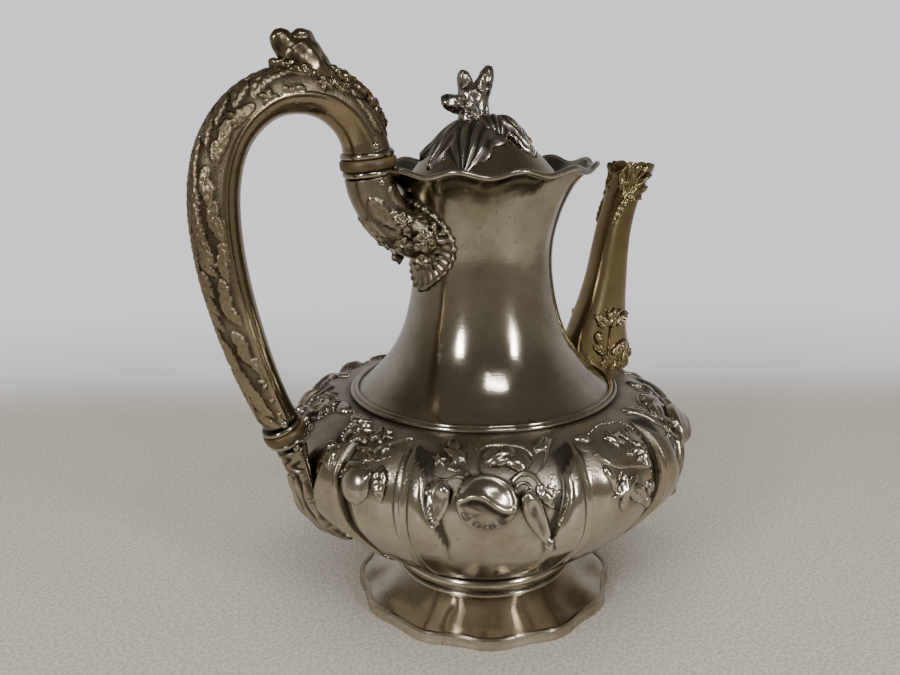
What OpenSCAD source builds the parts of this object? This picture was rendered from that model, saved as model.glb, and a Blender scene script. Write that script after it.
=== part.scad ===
// Silver coffee pot: five-lobed melon body, trumpet neck, hinged domed lid,
// hollow C handle on two insulated sockets, tall open spout, spreading foot.
// Origin: centre of the foot at table level. +Z up, spout towards +X, handle
// towards -X. Units: millimetres.

/* [Preview] */
// Which piece to draw ("all" draws everything)

/* [Body] */
// Largest radius, at the middle of a lobe
body_radius = 83; // [78:0.5:88]
// How deep the panels between the lobes lie, as a share of the radius
panel_depth = 0.075; // [0.03:0.005:0.1]
// Silver thickness of body, neck and lid
wall = 1.1; // [0.8:0.1:1.6]

/* [Neck and rim] */
// Radius of the reeded ring where the neck meets the body
ring_radius = 55; // [52:0.5:58]
// Height of one wave of the rim, crest to trough
rim_wave = 2.2; // [0:0.1:3]
// Number of waves round the rim and the foot
wave_count = 12; // [6:1:16]

/* [Foot] */
// Mean radius of the foot's edge
foot_radius = 55; // [52:0.5:58]
// Height of the foot's edge band
foot_band = 5; // [3:0.5:7]
// How far the foot's edge waves in and out
foot_wave = 0.9; // [0:0.1:1.5]

/* [Handle] */
// Thickness of the hollow handle's wall
handle_wall = 1; // [0.7:0.1:1.5]
// Thickness of each insulating ring
insulator_gap = 3.8; // [3:0.1:5]

/* [Lid] */
// Hinge pin radius
pin_r = 0.9; // [0.7:0.05:1.2]
// Running clearance between the pin and the lid's knuckle
pin_clear = 0.05; // [0.02:0.01:0.1]
// How far the lid is drawn open
lid_open = 0; // [0:1:55]

/* [Hidden] */
$fn = 96;

// Outer profile of a lobe's middle, [radius, height], underside to shoulder.
body_path = [[38, 21], [44, 25], [50, 28.8], [55.4, 32], [61, 36.2],
             [66, 40.6], [71, 46], [75.6, 51.5], [79.4, 57], [82, 63],
             [83, 69], [82.4, 75], [80.6, 80], [77.4, 84.5], [72.5, 88.2],
             [66, 90.6], [58, 91.6], [50, 92]];

// Raised lobes: direction of the middle and half width, in degrees.
lobes = [[180, 16], [240, 24], [120, 24], [316, 24], [44, 24]];

// Outer profile of the neck, [radius, height].
neck_path = [[54.6, 92], [51.5, 94], [48.6, 96.4], [45.6, 99.3],
             [42.6, 102.6], [39.6, 106.6], [36.8, 111], [34.3, 116],
             [32.3, 121.5], [30.8, 127], [29.6, 133], [28.8, 139],
             [28.4, 145], [28.5, 150.5], [29.1, 155.5], [30.2, 160.5],
             [31.7, 165.5], [33.5, 170], [35.8, 174.4], [38.6, 178.2],
             [41.4, 181], [43.8, 182.8]];

// Outer profile of the lid, [radius, height], edge to apex.
lid_path = [[31.8, 171], [31.6, 173], [30.8, 177], [29, 181],
            [26, 184.6], [22.4, 188.4], [18, 192.4], [13.4, 196],
            [8.5, 198.8], [4, 200.2], [1.6, 200.6]];

// Handle centre line, [x, z, radius], upper end to lower end.
handle_path = [[-50.7, 191.2, 8.8], [-51.9, 196, 8.7], [-54.6, 201.4, 8.5],
               [-59.4, 206.8, 8.4], [-66.6, 211.2, 8.3], [-75.6, 213, 8.2],
               [-85.4, 211.8, 8.2], [-94, 207.2, 8.3], [-100.6, 200.4, 8.4],
               [-105, 192.2, 8.6], [-107.4, 183, 8.7], [-108.3, 172, 8.7],
               [-107.8, 160, 8.6], [-106.2, 148, 8.4], [-103.8, 136, 8.1],
               [-100.8, 124, 7.8], [-97.3, 112.5, 7.4], [-93.8, 102.5, 7],
               [-90.8, 95, 6.8]];

// Spout sections: [x, z, half depth, half width, lean in degrees].
spout_path = [[62.5, 87.5, 16.5, 10, 10], [61.8, 95, 16.6, 9.8, 5],
              [61.8, 103, 15.6, 9.3, 0], [63, 112, 13.4, 8.6, -2],
              [65, 122, 11, 7.8, -4], [66.8, 132, 9.4, 7.1, -4],
              [68.4, 143, 8.3, 6.6, -6], [70.6, 154, 7.6, 6.3, -12],
              [73.6, 163, 7.4, 6.2, -20], [76.8, 170, 8.2, 6.4, -24],
              [79.6, 176, 9.8, 6.8, -8]];

// Insulated joints of the handle: centre and direction towards the pot.
upper_joint = [-50.2, 187.2];
upper_lean = 6;
upper_r = 10.6;
lower_joint = [-89.2, 89.9];
lower_lean = 22.5;
lower_r = 8.2;

// Lid hinge axis.
hinge_x = -33.1;
hinge_z = 177.6;
knuckle_r = 2;

module silver() color([0.62, 0.59, 0.53]) children();
module gilt() color([0.6, 0.5, 0.34]) children();
module horn() color([0.55, 0.36, 0.14]) children();

// ---- shared shapes -------------------------------------------------------

function unit(v) = v / norm(v);
function clamp01(t) = min(1, max(0, t));
function ramp(t) = let (u = clamp01(t)) u * u * (3 - 2 * u);
function flip(list) = [for (i = [len(list) - 1:-1:0]) list[i]];

function total(v, i = 0) =
    i == len(v) - 1 ? v[i] : v[i] + total(v, i + 1);
function middle(ring) = total(ring) / len(ring);

// Left normal of a path of [r, z] points at point i.
function side(path, i) =
    let (a = path[max(0, i - 1)], b = path[min(len(path) - 1, i + 1)],
         d = unit([b[0] - a[0], b[1] - a[1]])) [-d[1], d[0]];

// Path moved sideways by t.
function beside(path, t) =
    [for (i = [0:len(path) - 1])
        [path[i][0], path[i][1]] + t * side(path, i)];

// Closed strip between a path and the same path moved sideways.
function strip(path, t) = concat(path, flip(beside(path, t)));

// Solid through rings of points, closed with a fan at each end.
module skin(rings, turn = false) {
    n = len(rings[0]);
    m = len(rings);
    points = [for (ring = rings) for (p = ring) p];
    all_points = concat(points, [middle(rings[0]), middle(rings[m - 1])]);
    faces = concat(
        [for (j = [0:m - 2]) for (i = [0:n - 1]) let (k = (i + 1) % n)
            [j * n + i, j * n + k, (j + 1) * n + k]],
        [for (j = [0:m - 2]) for (i = [0:n - 1]) let (k = (i + 1) % n)
            [j * n + i, (j + 1) * n + k, (j + 1) * n + i]],
        [for (i = [0:n - 1]) [m * n, (i + 1) % n, i]],
        [for (i = [0:n - 1])
            [m * n + 1, (m - 1) * n + i, (m - 1) * n + (i + 1) % n]]);
    polyhedron(all_points, turn ? [for (f = faces) flip(f)] : faces);
}

// Solid whose rings run round and join up again.
module loop_skin(rings, turn = false) {
    n = len(rings[0]);
    m = len(rings);
    faces = [for (j = [0:m - 1]) for (i = [0:n - 1])
        let (k = (i + 1) % n, q = (j + 1) % m)
        for (f = [[j * n + i, j * n + k, q * n + k],
                  [j * n + i, q * n + k, q * n + i]]) f];
    polyhedron([for (ring = rings) for (p = ring) p],
               turn ? [for (f = faces) flip(f)] : faces);
}

// Ring of points round a path in the XZ plane: half sizes a (in the plane)
// and b (along Y), squareness p, at centre c, the section's own lean.
function section(c, a, b, lean, n, p = 1) =
    [for (i = [0:n - 1])
        let (t = 360 * i / n, u = cos(t), v = sin(t),
             x = a * sign(u) * pow(abs(u), p),
             y = b * sign(v) * pow(abs(v), p))
        [c[0] + x * cos(lean), y, c[1] + x * sin(lean)]];

// Direction of a path in the XZ plane, as the lean of its cross-section.
function path_lean(path, i) =
    let (s = side(path, i)) atan2(s[1], s[0]);

function tube_rings(path, less, n) =
    [for (i = [0:len(path) - 1])
        section(path[i], path[i][2] - less, path[i][2] - less,
                path_lean(path, i), n)];

// Places a child made along +Z at a handle joint; +Z runs away from the pot.
module at_joint(joint, lean, along = 0)
    translate([joint[0], 0, joint[1]]) rotate([0, -lean, 0])
        translate([0, 0, along]) children();

// ---- body ----------------------------------------------------------------

// How far the panels between the lobes are worked in at a height.
function panel_share(z) =
    panel_depth * ramp((z - 22) / 14) * ramp((91.2 - z) / 8);
function turn_between(a, b) = abs((a - b + 540) % 360 - 180);
// 0 at the middle of a lobe, up to 0.2 at its edge, 1 between lobes.
function panel_at(a) = min([for (lobe = lobes)
    let (u = turn_between(a, lobe[0]) / lobe[1]) u > 1.001 ? 1 : 0.2 * u * u]);

function body_ring(p, n, less = 0) =
    [for (i = [0:n - 1])
        let (a = 360 * i / n,
             r = p[0] * (body_radius / 83)
                 * (1 - panel_share(p[1]) * panel_at(a)) - less)
        [r * cos(a), r * sin(a), p[1]]];

module body_shell() silver() {
    n = 90;
    inner = beside(body_path, wall);
    inside = [for (i = [1:len(inner) - 1]) inner[i]];
    outer_rings = [for (p = body_path) body_ring(p, n)];
    inner_rings = [for (p = flip(inside)) body_ring(p, n)];
    difference() {
        skin(concat(outer_rings, inner_rings,
                    [body_ring([38.4, 21 + wall], n)]));
        translate([63.5, 0, 80]) cylinder(r = 8, h = 20);
    }
}

// ---- neck and rim --------------------------------------------------------

// Room for the handle's upper joint where it passes the rim.
module upper_joint_room(r) at_joint(upper_joint, upper_lean, -10)
    cylinder(r = r, h = 16);

module neck_wall() silver() difference() {
    rotate_extrude() polygon(strip(neck_path, wall));
    upper_joint_room(7.3);
}

module neck_base_ring() silver() rotate_extrude() {
    translate([ring_radius + 0.3, 92.6]) circle(r = 1, $fn = 24);
    translate([ring_radius - 1.3, 93.3]) circle(r = 0.9, $fn = 24);
}

module mouth_rim_wire() silver() {
    n = 96;
    difference() {
        loop_skin([for (i = [0:n - 1])
            let (a = 360 * i / n, w = cos(wave_count * (a - 15)),
                 r = 44.7 + 0.5 * w, z = 183.6 + rim_wave / 2 * w)
            [for (k = [0:7]) let (t = 45 * k)
                [(r + 1.1 * cos(t)) * cos(a), (r + 1.1 * cos(t)) * sin(a),
                 z + 1.1 * sin(t)]]], turn = true);
        upper_joint_room(10.9);
    }
}

// ---- foot ----------------------------------------------------------------

module foot_collar() silver() rotate_extrude() difference() {
    union() {
        translate([34.6, 12.4]) square([3.4, 9.8]);
        for (m = [[38, 13.6, 1.2], [37.6, 16.6, 1.5], [38, 19.8, 1.5]])
            translate([m[0], m[1]]) circle(r = m[2], $fn = 24);
    }
    translate([30, 0]) square([4.6, 40]);
}

module foot_skirt() silver() rotate_extrude() polygon(strip(
    [[53.6, foot_band], [51, 5.9], [47.8, 7.2], [44.6, 8.9], [41.8, 10.8],
     [39.6, 12.4], [38.2, 13.4]], 1.2));

function foot_outline(less) =
    [for (i = [0:143]) let (a = 2.5 * i,
        r = foot_radius + foot_wave * cos(wave_count * a) - less)
        [r * cos(a), r * sin(a)]];

module foot_edge_band() silver() linear_extrude(foot_band) difference() {
    polygon(foot_outline(0));
    polygon(foot_outline(1.8));
}

// ---- spout ---------------------------------------------------------------

function spout_rings(less, n) =
    [for (s = spout_path)
        section(s, s[2] - less, s[3] - less, s[4], n, 0.72)];

module spout_tube() gilt() {
    n = 20;
    outer = spout_rings(0, n);
    inner = spout_rings(1.2, n);
    loop_skin(concat(outer, flip(inner)), turn = false);
}

// Low dished petals set round a centre, on a face whose outward is +Z.
module blossom(petals, reach, size, height) {
    for (i = [0:petals - 1]) rotate(360 * i / petals)
        translate([reach, 0, 0]) intersection() {
            translate([0, 0, height - size * 1.4]) sphere(r = size * 1.4);
            cylinder(r = size, h = height * 2);
        }
    cylinder(r1 = size, r2 = size * 0.55, h = height);
}

module spout_mouth_shell() gilt() for (s = [-1, 1])
    translate([75.6, s * 6.2, 171.4]) rotate([-90 * s, 0, 0]) {
        for (i = [-2:2]) rotate(90 * -s + 22 * i - s * 12)
            intersection() {
                translate([7, 0, -5.2]) sphere(r = 6.6);
                translate([7.4, 0, -0.5]) cylinder(r = 3, h = 3);
            }
        cylinder(r = 3, h = 1.4);
    }

module spout_base_flower() gilt() for (s = [-1, 1])
    translate([63, s * 7.9, 112]) rotate([-90 * s, 0, 0])
        blossom(5, 5, 3.2, 2.2);

module spout_base_leaf() gilt() translate([77.6, 0, 92]) rotate([0, 84, 0])
    linear_extrude(1.6) polygon([[-10, 0], [-6, -4], [0, -6], [6, -4.5],
                                 [9, 0], [6, 4.5], [0, 6], [-6, 4]]);

module spout_strainer() silver()
    translate([63.5, 0, 87.6]) rotate([0, 12, 0]) difference() {
        cylinder(r = 11, h = 0.9);
        for (ring = [[1, 0], [6, 3.2], [12, 6.2]]) for (i = [1:ring[0]])
            rotate(360 * i / ring[0]) translate([ring[1], 0, -1])
                cylinder(r = 0.9, h = 3, $fn = 24);
    }

// ---- handle sockets ------------------------------------------------------

module neck_core(more = 0) rotate_extrude()
    polygon(concat([[0, 92]], beside(neck_path, -more), [[0, 182.8]]));

module upper_handle_socket() silver() difference() {
    path = [[-49.75, 182.6, 9.6], [-48.9, 177.5, 9.3], [-46.8, 172.4, 9],
            [-43.4, 167.6, 9], [-38.8, 163.6, 9.4], [-33, 160.6, 10.2],
            [-26, 158.4, 11]];
    n = 20;
    loop_skin(concat(tube_rings(path, 0, n), flip(tube_rings(path, 1.2, n))),
              turn = true);
    neck_core();
}

module upper_socket_shell_plate() silver() intersection() {
    difference() {
        neck_core(1.5);
        neck_core(0.02);
    }
    translate([-22, 0, 0]) rotate([0, -90, 0]) linear_extrude(30)
        polygon([[137, 0], [141, 9], [146, 15], [152, 19], [158, 20.6],
                 [164, 19.6], [169, 15], [171, 8], [171, -8], [169, -15],
                 [164, -19.6], [158, -20.6], [152, -19], [146, -15],
                 [141, -9]]);
}

module upper_socket_flowers() silver() for (s = [-1, 1]) {
    translate([-44.5, s * 8.6, 169]) rotate([-90 * s, 0, 0])
        blossom(5, 4, 2.6, 1.8);
    translate([-36.5, s * 10.4, 158]) rotate([-78 * s, 0, 0])
        blossom(6, 4.4, 2.6, 2);
}

// Leaf-shaped socket that lies on the body: [x, z, half width, height].
socket_leaf = [[-86.9, 83.6, 6.1, 6.1], [-84.9, 78.4, 6.6, 5.6],
               [-83.4, 73, 7.8, 5.2], [-83, 68, 9.2, 4.6],
               [-82, 62, 10.4, 4.1], [-79.4, 56, 10.4, 3.8],
               [-75.2, 50.2, 8.8, 3.4], [-70.2, 44.6, 6, 2.8],
               [-64.6, 39, 2.6, 1.6]];

module lower_handle_socket() silver() {
    n = 12;
    skin([for (i = [0:len(socket_leaf) - 1])
        let (s = socket_leaf[i], out = -side(socket_leaf, i),
             sink = i == 0 ? 6.1 : i == 1 ? 3.5 : i == 2 ? 1.6 : 0.7)
        [for (k = [0:2 * n - 1])
            let (t = 180 * k / n, up = sin(t), w = cos(t),
                 h = up >= 0 ? s[3] * up
                     : i == 0 ? sink * up
                     : -sink * pow(-up, 0.5) * (i > 2 ? 0.6 + w * w : 1))
            [s[0] + out[0] * h, s[2] * w, s[1] + out[1] * h]]]);
}

module bead(r, thick, hole) rotate_extrude() {
    translate([r - thick, 0]) circle(r = thick, $fn = 32);
    translate([hole, -thick * 0.8]) square([r - thick - hole, thick * 1.6]);
}

half_gap = insulator_gap / 2;
module upper_socket_bead() silver()
    at_joint(upper_joint, upper_lean, -half_gap - 1.35)
        bead(upper_r - 0.5, 1.3, 7.2);
module upper_handle_bead() silver()
    at_joint(upper_joint, upper_lean, half_gap + 1.35)
        bead(upper_r - 0.5, 1.3, 7.2);
module lower_socket_bead() silver()
    at_joint(lower_joint, lower_lean, -half_gap - 1.15)
        bead(lower_r - 0.6, 1.1, 5);
module lower_handle_bead() silver()
    at_joint(lower_joint, lower_lean, half_gap + 1.15)
        bead(lower_r - 0.4, 1.1, 5);

module insulator(r, spigot, reach) {
    translate([0, 0, -half_gap]) cylinder(r = r, h = insulator_gap);
    translate([0, 0, -reach]) cylinder(r = spigot, h = 2 * reach);
}

module upper_insulator() horn() at_joint(upper_joint, upper_lean)
    insulator(upper_r, 7.1, 9);
module lower_insulator() horn() at_joint(lower_joint, lower_lean)
    insulator(lower_r, 4.9, 8);

// Round-headed pin from outside a joint towards its axis.
module pin_at(joint, lean, along, reach, turned)
    at_joint(joint, lean, along) rotate([0, 0, turned])
        translate([reach, 0, 0]) rotate([0, 90, 0]) {
            translate([0, 0, -4.2]) cylinder(r = 0.8, h = 4.2, $fn = 24);
            intersection() {
                translate([0, 0, -1.2]) sphere(r = 1.9, $fn = 24);
                translate([0, 0, -0.2]) cylinder(r = 1.5, h = 2, $fn = 24);
            }
        }

module handle_pins() silver() for (turned = [-90, 90]) {
    pin_at(upper_joint, upper_lean, 6.6, 8.8, turned);
    pin_at(upper_joint, upper_lean, -6.6, 9.6, turned);
    pin_at(lower_joint, lower_lean, 6, 7, turned);
    pin_at(lower_joint, lower_lean, -5.4, 6.3, turned);
}

// ---- handle --------------------------------------------------------------

module handle_tube() silver() {
    n = 20;
    loop_skin(concat(tube_rings(handle_path, 0, n),
                     flip(tube_rings(handle_path, handle_wall, n))),
              turn = true);
}

module arch_leaf_strip() silver() skin([for (i = [1:5])
    let (p = handle_path[i], out = side(handle_path, i) * -1,
         w = [0, 2.6, 4.2, 4.8, 4.4, 3.2][i])
    [for (k = [0:11]) let (t = 30 * k, h = p[2] - 0.2 + 1.5 * sin(t))
        [p[0] + out[0] * h, w * cos(t), p[1] + out[1] * h]]]);

// Rounded limb between two balls [x, y, z, radius].
module limb(a, b) hull() for (p = [a, b])
    translate([p[0], p[1], p[2]]) sphere(r = p[3], $fn = 16);

module thumbpiece() silver() {
    limb([-73.4, 0, 219.6, 3.6], [-75.4, 0, 223.6, 2.8]);
    limb([-75, 0, 222.6, 2.9], [-79.8, 0, 231.2, 2.1]);
    limb([-75, 0, 222.6, 2.9], [-73.6, 0, 231.4, 2.2]);
}

// ---- hinge and lid -------------------------------------------------------

module across(r, from, to) translate([hinge_x, from, hinge_z])
    rotate([-90, 0, 0]) cylinder(r = r, h = to - from, $fn = 48);

module neck_hinge_knuckles() silver() for (s = [-1, 1]) difference() {
    union() {
        across(knuckle_r, s > 0 ? 3 : -7, s > 0 ? 7 : -3);
        translate([hinge_x - 4.4, s > 0 ? 3 : -7, hinge_z - 1.2])
            cube([4.4, 4, 2.4]);
    }
    across(pin_r, -8, 8);
}

module hinge_pin() silver() across(pin_r, -7.4, 7.4);

module lid_hinge_knuckle() silver() difference() {
    union() {
        across(knuckle_r, -2.6, 2.6);
        translate([hinge_x, -2.6, hinge_z - 1.9]) cube([3.4, 5.2, 1.7]);
    }
    across(pin_r + pin_clear, -4, 4);
}

module lid_dome() silver() rotate_extrude() polygon(strip(lid_path, 1));

module lid_bezel() silver() rotate_extrude() polygon(
    [[28.4, 164], [28.4, 170.2], [30.8, 170.8], [30.8, 172.2],
     [27.4, 172.2], [27.4, 164]]);

module lid_core(more) rotate_extrude()
    polygon(concat([[0, 160]], [[31.8, 160]], beside(lid_path, -more),
                   [[0, 200.6 + more]]));

// Where the finial's trunk stands, and the way it faces.
finial_turn = -33.3;

module finial_leaves() silver() intersection() {
    difference() {
        lid_core(1.6);
        lid_core(0.02);
    }
    for (leaf = [[-122, 24, 9.5], [-168, 25, 8], [150, 22, 7], [-60, 21, 7],
                 [0, 19, 7.5], [75, 22, 8]])
        rotate(leaf[0]) linear_extrude(220) polygon([[5, -2.5],
            [leaf[1] * 0.45, -leaf[2]], [leaf[1] * 0.75, -leaf[2] * 0.8],
            [leaf[1], 0], [leaf[1] * 0.75, leaf[2] * 0.8],
            [leaf[1] * 0.45, leaf[2]], [5, 2.5]]);
}

module finial_branch() silver() {
    rotate(finial_turn) {
        limb([-3, 0, 203.6, 5.8], [-3.4, 0, 210, 5]);
        limb([-5.2, 0, 210, 3.2], [-7.4, 0, 218.2, 1.9]);
        limb([-1.2, 0, 210, 3.4], [2.8, 0, 219.2, 2.1]);
        limb([-5, 0, 207.4, 3.6], [-13.8, 0, 208.2, 2.9]);
    }
    translate([0, 0, 194.2]) cylinder(r = 1.5, h = 8, $fn = 32);
}

module finial_nut() silver() translate([0, 0, 195.6]) difference() {
    cylinder(r = 4, h = 3.2, $fn = 6);
    translate([0, 0, -1]) cylinder(r = 1.5, h = 6, $fn = 32);
}

// The lid's pieces turn together about the hinge.
module lid_group() translate([hinge_x, 0, hinge_z])
    rotate([0, -lid_open, 0]) translate([-hinge_x, 0, -hinge_z]) children();

body_shell();
neck_wall();
neck_base_ring();
mouth_rim_wire();
foot_collar();
foot_skirt();
foot_edge_band();
spout_tube();
spout_mouth_shell();
spout_base_flower();
spout_base_leaf();
spout_strainer();
upper_handle_socket();
upper_socket_shell_plate();
upper_socket_flowers();
lower_handle_socket();
upper_socket_bead();
lower_socket_bead();
upper_insulator();
lower_insulator();
upper_handle_bead();
lower_handle_bead();
handle_pins();
handle_tube();
arch_leaf_strip();
thumbpiece();
neck_hinge_knuckles();
hinge_pin();
lid_group() lid_dome();
lid_group() lid_bezel();
lid_group() lid_hinge_knuckle();
lid_group() finial_branch();
lid_group() finial_leaves();
lid_group() finial_nut();
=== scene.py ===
# Silver coffee pot: five-lobed body, trumpet neck, leaf-and-branch lid, scroll
# handle with insulating rings, tall open spout. Sizes are written in
# millimetres and made into metres where a mesh is built.
import math

import bpy
import numpy as np
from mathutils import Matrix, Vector, kdtree


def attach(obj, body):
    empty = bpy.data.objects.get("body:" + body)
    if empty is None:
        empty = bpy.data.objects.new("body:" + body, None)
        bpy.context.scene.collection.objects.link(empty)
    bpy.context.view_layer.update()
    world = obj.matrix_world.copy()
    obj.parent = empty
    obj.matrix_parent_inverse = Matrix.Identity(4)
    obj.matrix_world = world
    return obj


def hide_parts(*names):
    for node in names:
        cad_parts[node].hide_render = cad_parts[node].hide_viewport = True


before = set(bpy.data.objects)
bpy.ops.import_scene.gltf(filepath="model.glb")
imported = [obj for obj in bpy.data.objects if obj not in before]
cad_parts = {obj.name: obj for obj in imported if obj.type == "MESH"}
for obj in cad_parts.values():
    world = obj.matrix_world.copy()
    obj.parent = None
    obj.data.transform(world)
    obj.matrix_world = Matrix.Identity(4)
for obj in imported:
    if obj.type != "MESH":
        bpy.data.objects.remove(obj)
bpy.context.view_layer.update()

mm = 0.001
fullTurn = 2 * math.pi

viewSettings = {
    "place": (-0.19153, -0.29157, 0.20950),
    "turn": (74.502, 0.781, -31.246),  # degrees
    "lens": 34.4,
}


def makeCamera(settings):
    camera = bpy.data.objects.new("camera", bpy.data.cameras.new("camera"))
    camera.location = settings["place"]
    camera.rotation_euler = [math.radians(a) for a in settings["turn"]]
    camera.data.lens = settings["lens"]
    camera.data.sensor_width = 36
    camera.data.clip_start = 0.01
    bpy.context.scene.collection.objects.link(camera)
    bpy.context.scene.camera = camera


lightSettings = [
    # name, direction and height in degrees, distance, width, depth, power,
    # whether the metal mirrors it
    ("windowLeft", -156, 24, 1.6, 0.17, 0.34, 9, True),
    ("windowRight", -79, 22, 1.6, 0.14, 0.4, 9, True),
    ("lampRow", -104, 52, 1.7, 0.5, 0.1, 5, True),
    ("softOverhead", -110, 76, 1.8, 1.8, 1.6, 26, False),
    ("softFront", -150, 40, 2.0, 1.2, 1.0, 14, False),
]


def makeLights(rows):
    middle = Vector((0, 0, 0.09))
    for name, around, up, away, width, depth, power, mirrored in rows:
        light = bpy.data.lights.new(name, "AREA")
        light.shape = "RECTANGLE"
        light.size, light.size_y, light.energy = width, depth, power
        lamp = bpy.data.objects.new(name, light)
        lamp.visible_glossy = mirrored
        a, e = math.radians(around), math.radians(up)
        spot = Vector((math.cos(a) * math.cos(e), math.sin(a) * math.cos(e),
                       math.sin(e)))
        lamp.location = middle + spot * away
        lamp.rotation_euler = (-spot).to_track_quat("-Z", "Y").to_euler()
        bpy.context.scene.collection.objects.link(lamp)


class Wire:
    # One output in a node tree that can be reckoned with like a number.
    def __init__(self, tree, socket):
        self.tree, self.socket = tree, socket

    def math(self, operation, *others):
        return wire(self.tree, "ShaderNodeMath", 0,
                    dict(enumerate((self, *others))), operation=operation)

    def __add__(self, other):
        return self.math("ADD", other)

    def __sub__(self, other):
        return self.math("SUBTRACT", other)

    def __mul__(self, other):
        return self.math("MULTIPLY", other)

    def __truediv__(self, other):
        return self.math("DIVIDE", other)

    def flip(self):
        return self * -1.0 + 1.0

    def ramp(self, low, high):
        # Smooth 0 to 1 between low and high, either way round.
        backwards = not isinstance(low, Wire) and low > high
        if backwards:
            low, high = high, low
        out = wire(self.tree, "ShaderNodeMapRange", "Result",
                   {"Value": self, "From Min": low, "From Max": high},
                   interpolation_type="SMOOTHSTEP")
        return out.flip() if backwards else out


def add(tree, kind, inputs=None, **settings):
    # New node. An input is given a number, a colour or another output.
    node = tree.nodes.new(kind)
    for name, value in settings.items():
        setattr(node, name, value)
    for slot, value in (inputs or {}).items():
        join(tree, value, node.inputs[slot])
    return node


def join(tree, value, slot):
    value = value.socket if isinstance(value, Wire) else value
    if isinstance(value, bpy.types.NodeSocket):
        tree.links.new(value, slot)
    else:
        slot.default_value = value


def wire(tree, kind, output, inputs=None, **settings):
    return Wire(tree, add(tree, kind, inputs, **settings).outputs[output])


def mixed(tree, share, first, second):
    return wire(tree, "ShaderNodeMix", 2,
                {"Factor": share, 6: first, 7: second}, data_type="RGBA")


def twoTone(tree, share, low, lowColour, high, highColour):
    node = add(tree, "ShaderNodeValToRGB", {"Fac": share})
    for stop, place, colour in zip(node.color_ramp.elements, (low, high),
                                   (lowColour, highColour)):
        stop.position, stop.color = place, colour
    return node.outputs["Color"]


def addSocket(tree, label, way, kind):
    return tree.interface.new_socket(label, in_out=way,
                                     socket_type="NodeSocket" + kind)


def shapeTree(name, inputs):
    # Geometry tree with its mesh, its named sizes and its material.
    tree = bpy.data.node_groups.new(name, "GeometryNodeTree")
    addSocket(tree, "Mesh", "INPUT", "Geometry")
    for label, value in inputs.items():
        addSocket(tree, label, "INPUT", "Float").default_value = value
    addSocket(tree, "Material", "INPUT", "Material")
    addSocket(tree, "Mesh", "OUTPUT", "Geometry")
    start = add(tree, "NodeGroupInput")
    return tree, start, {label: Wire(tree, start.outputs[label])
                         for label in inputs}


def endTree(tree, start, geometry):
    real = add(tree, "GeometryNodeRealizeInstances", {"Geometry": geometry})
    paint = add(tree, "GeometryNodeSetMaterial",
                {"Geometry": real.outputs["Geometry"],
                 "Material": start.outputs["Material"]})
    add(tree, "NodeGroupOutput", {"Mesh": paint.outputs["Geometry"]})


def placesIn(tree):
    # Each point's place and its distance from the axis, in millimetres.
    here = add(tree, "GeometryNodeInputPosition").outputs[0]
    parts = add(tree, "ShaderNodeSeparateXYZ", {0: here})
    x, y, z = (Wire(tree, parts.outputs[k]) * (1 / mm) for k in "XYZ")
    return x, y, z, (x * x + y * y).math("SQRT")


def movePlaces(tree, start, *place):
    joined = add(tree, "ShaderNodeCombineXYZ", dict(enumerate(place)))
    put = add(tree, "GeometryNodeSetPosition",
              {"Geometry": start.outputs["Mesh"],
               "Position": joined.outputs[0]})
    endTree(tree, start, put.outputs["Geometry"])


def runTree(piece, tree, values, material):
    # Puts a tree on a piece and makes its result the piece's own plain mesh.
    change = piece.modifiers.new(tree.name, "NODES")
    change.node_group = tree
    given = {**values, "Material": material}
    for socket in tree.interface.items_tree:
        if socket.in_out == "INPUT" and socket.name in given:
            change[socket.identifier] = given[socket.name]
    return makePlain(piece, material)


def makePlain(piece, material):
    # Takes up the piece's modifiers into its mesh.
    depsgraph = bpy.context.evaluated_depsgraph_get()
    mesh = bpy.data.meshes.new_from_object(piece.evaluated_get(depsgraph))
    piece.modifiers.clear()
    piece.data = mesh
    if not mesh.materials:
        mesh.materials.append(material)
    return piece


def runAlong(path, flat=2):
    # Distance from the path's start at each of its points.
    steps = np.linalg.norm(np.diff(path[:, :flat], axis=0), axis=1)
    return np.concatenate([[0], np.cumsum(steps)])


def smoothPath(points, count, flat=2):
    # Even steps along a smooth line through the points. The first `flat`
    # columns are the place, and the rest ride along.
    p = np.array(points, float)
    chord = runAlong(p, flat)
    slope = np.gradient(p, chord, axis=0)
    where = np.linspace(0, chord[-1], count * 5 + 20)
    i = np.clip(np.searchsorted(chord, where, side="right") - 1, 0,
                len(p) - 2)
    h = (chord[i + 1] - chord[i])[:, None]
    t = (where - chord[i])[:, None] / h
    dense = ((2 * t**3 - 3 * t**2 + 1) * p[i]
             + (t**3 - 2 * t**2 + t) * h * slope[i]
             + (3 * t**2 - 2 * t**3) * p[i + 1]
             + (t**3 - t**2) * h * slope[i + 1])
    run = runAlong(dense, flat)
    even = np.linspace(0, run[-1], count)
    return np.stack([np.interp(even, run, dense[:, k])
                     for k in range(p.shape[1])], 1)


def sideOf(path):
    # Left normals of a flat path.
    step = np.gradient(path[:, :2], axis=0)
    step /= np.linalg.norm(step, axis=1)[:, None] + 1e-9
    return np.stack([-step[:, 1], step[:, 0]], 1)


def thickStrip(path, wall):
    # Closed outline between a path and the same path moved sideways.
    return np.concatenate([path, (path + wall * sideOf(path))[::-1]])


def ramp(x, low, high):
    t = np.clip((x - low) / (high - low), 0, 1)
    return t * t * (3 - 2 * t)


def gridFaces(rows, cols, wrapRows=False):
    i = np.arange(rows if wrapRows else rows - 1)
    a, b = np.meshgrid(i, np.arange(cols), indexing="ij")
    c, d = (a + 1) % rows, (b + 1) % cols
    return np.stack([a * cols + b, a * cols + d, c * cols + d, c * cols + b],
                    -1).reshape(-1, 4)


def fromAxis(grid):
    return np.hypot(grid[..., 0], grid[..., 1])


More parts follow.
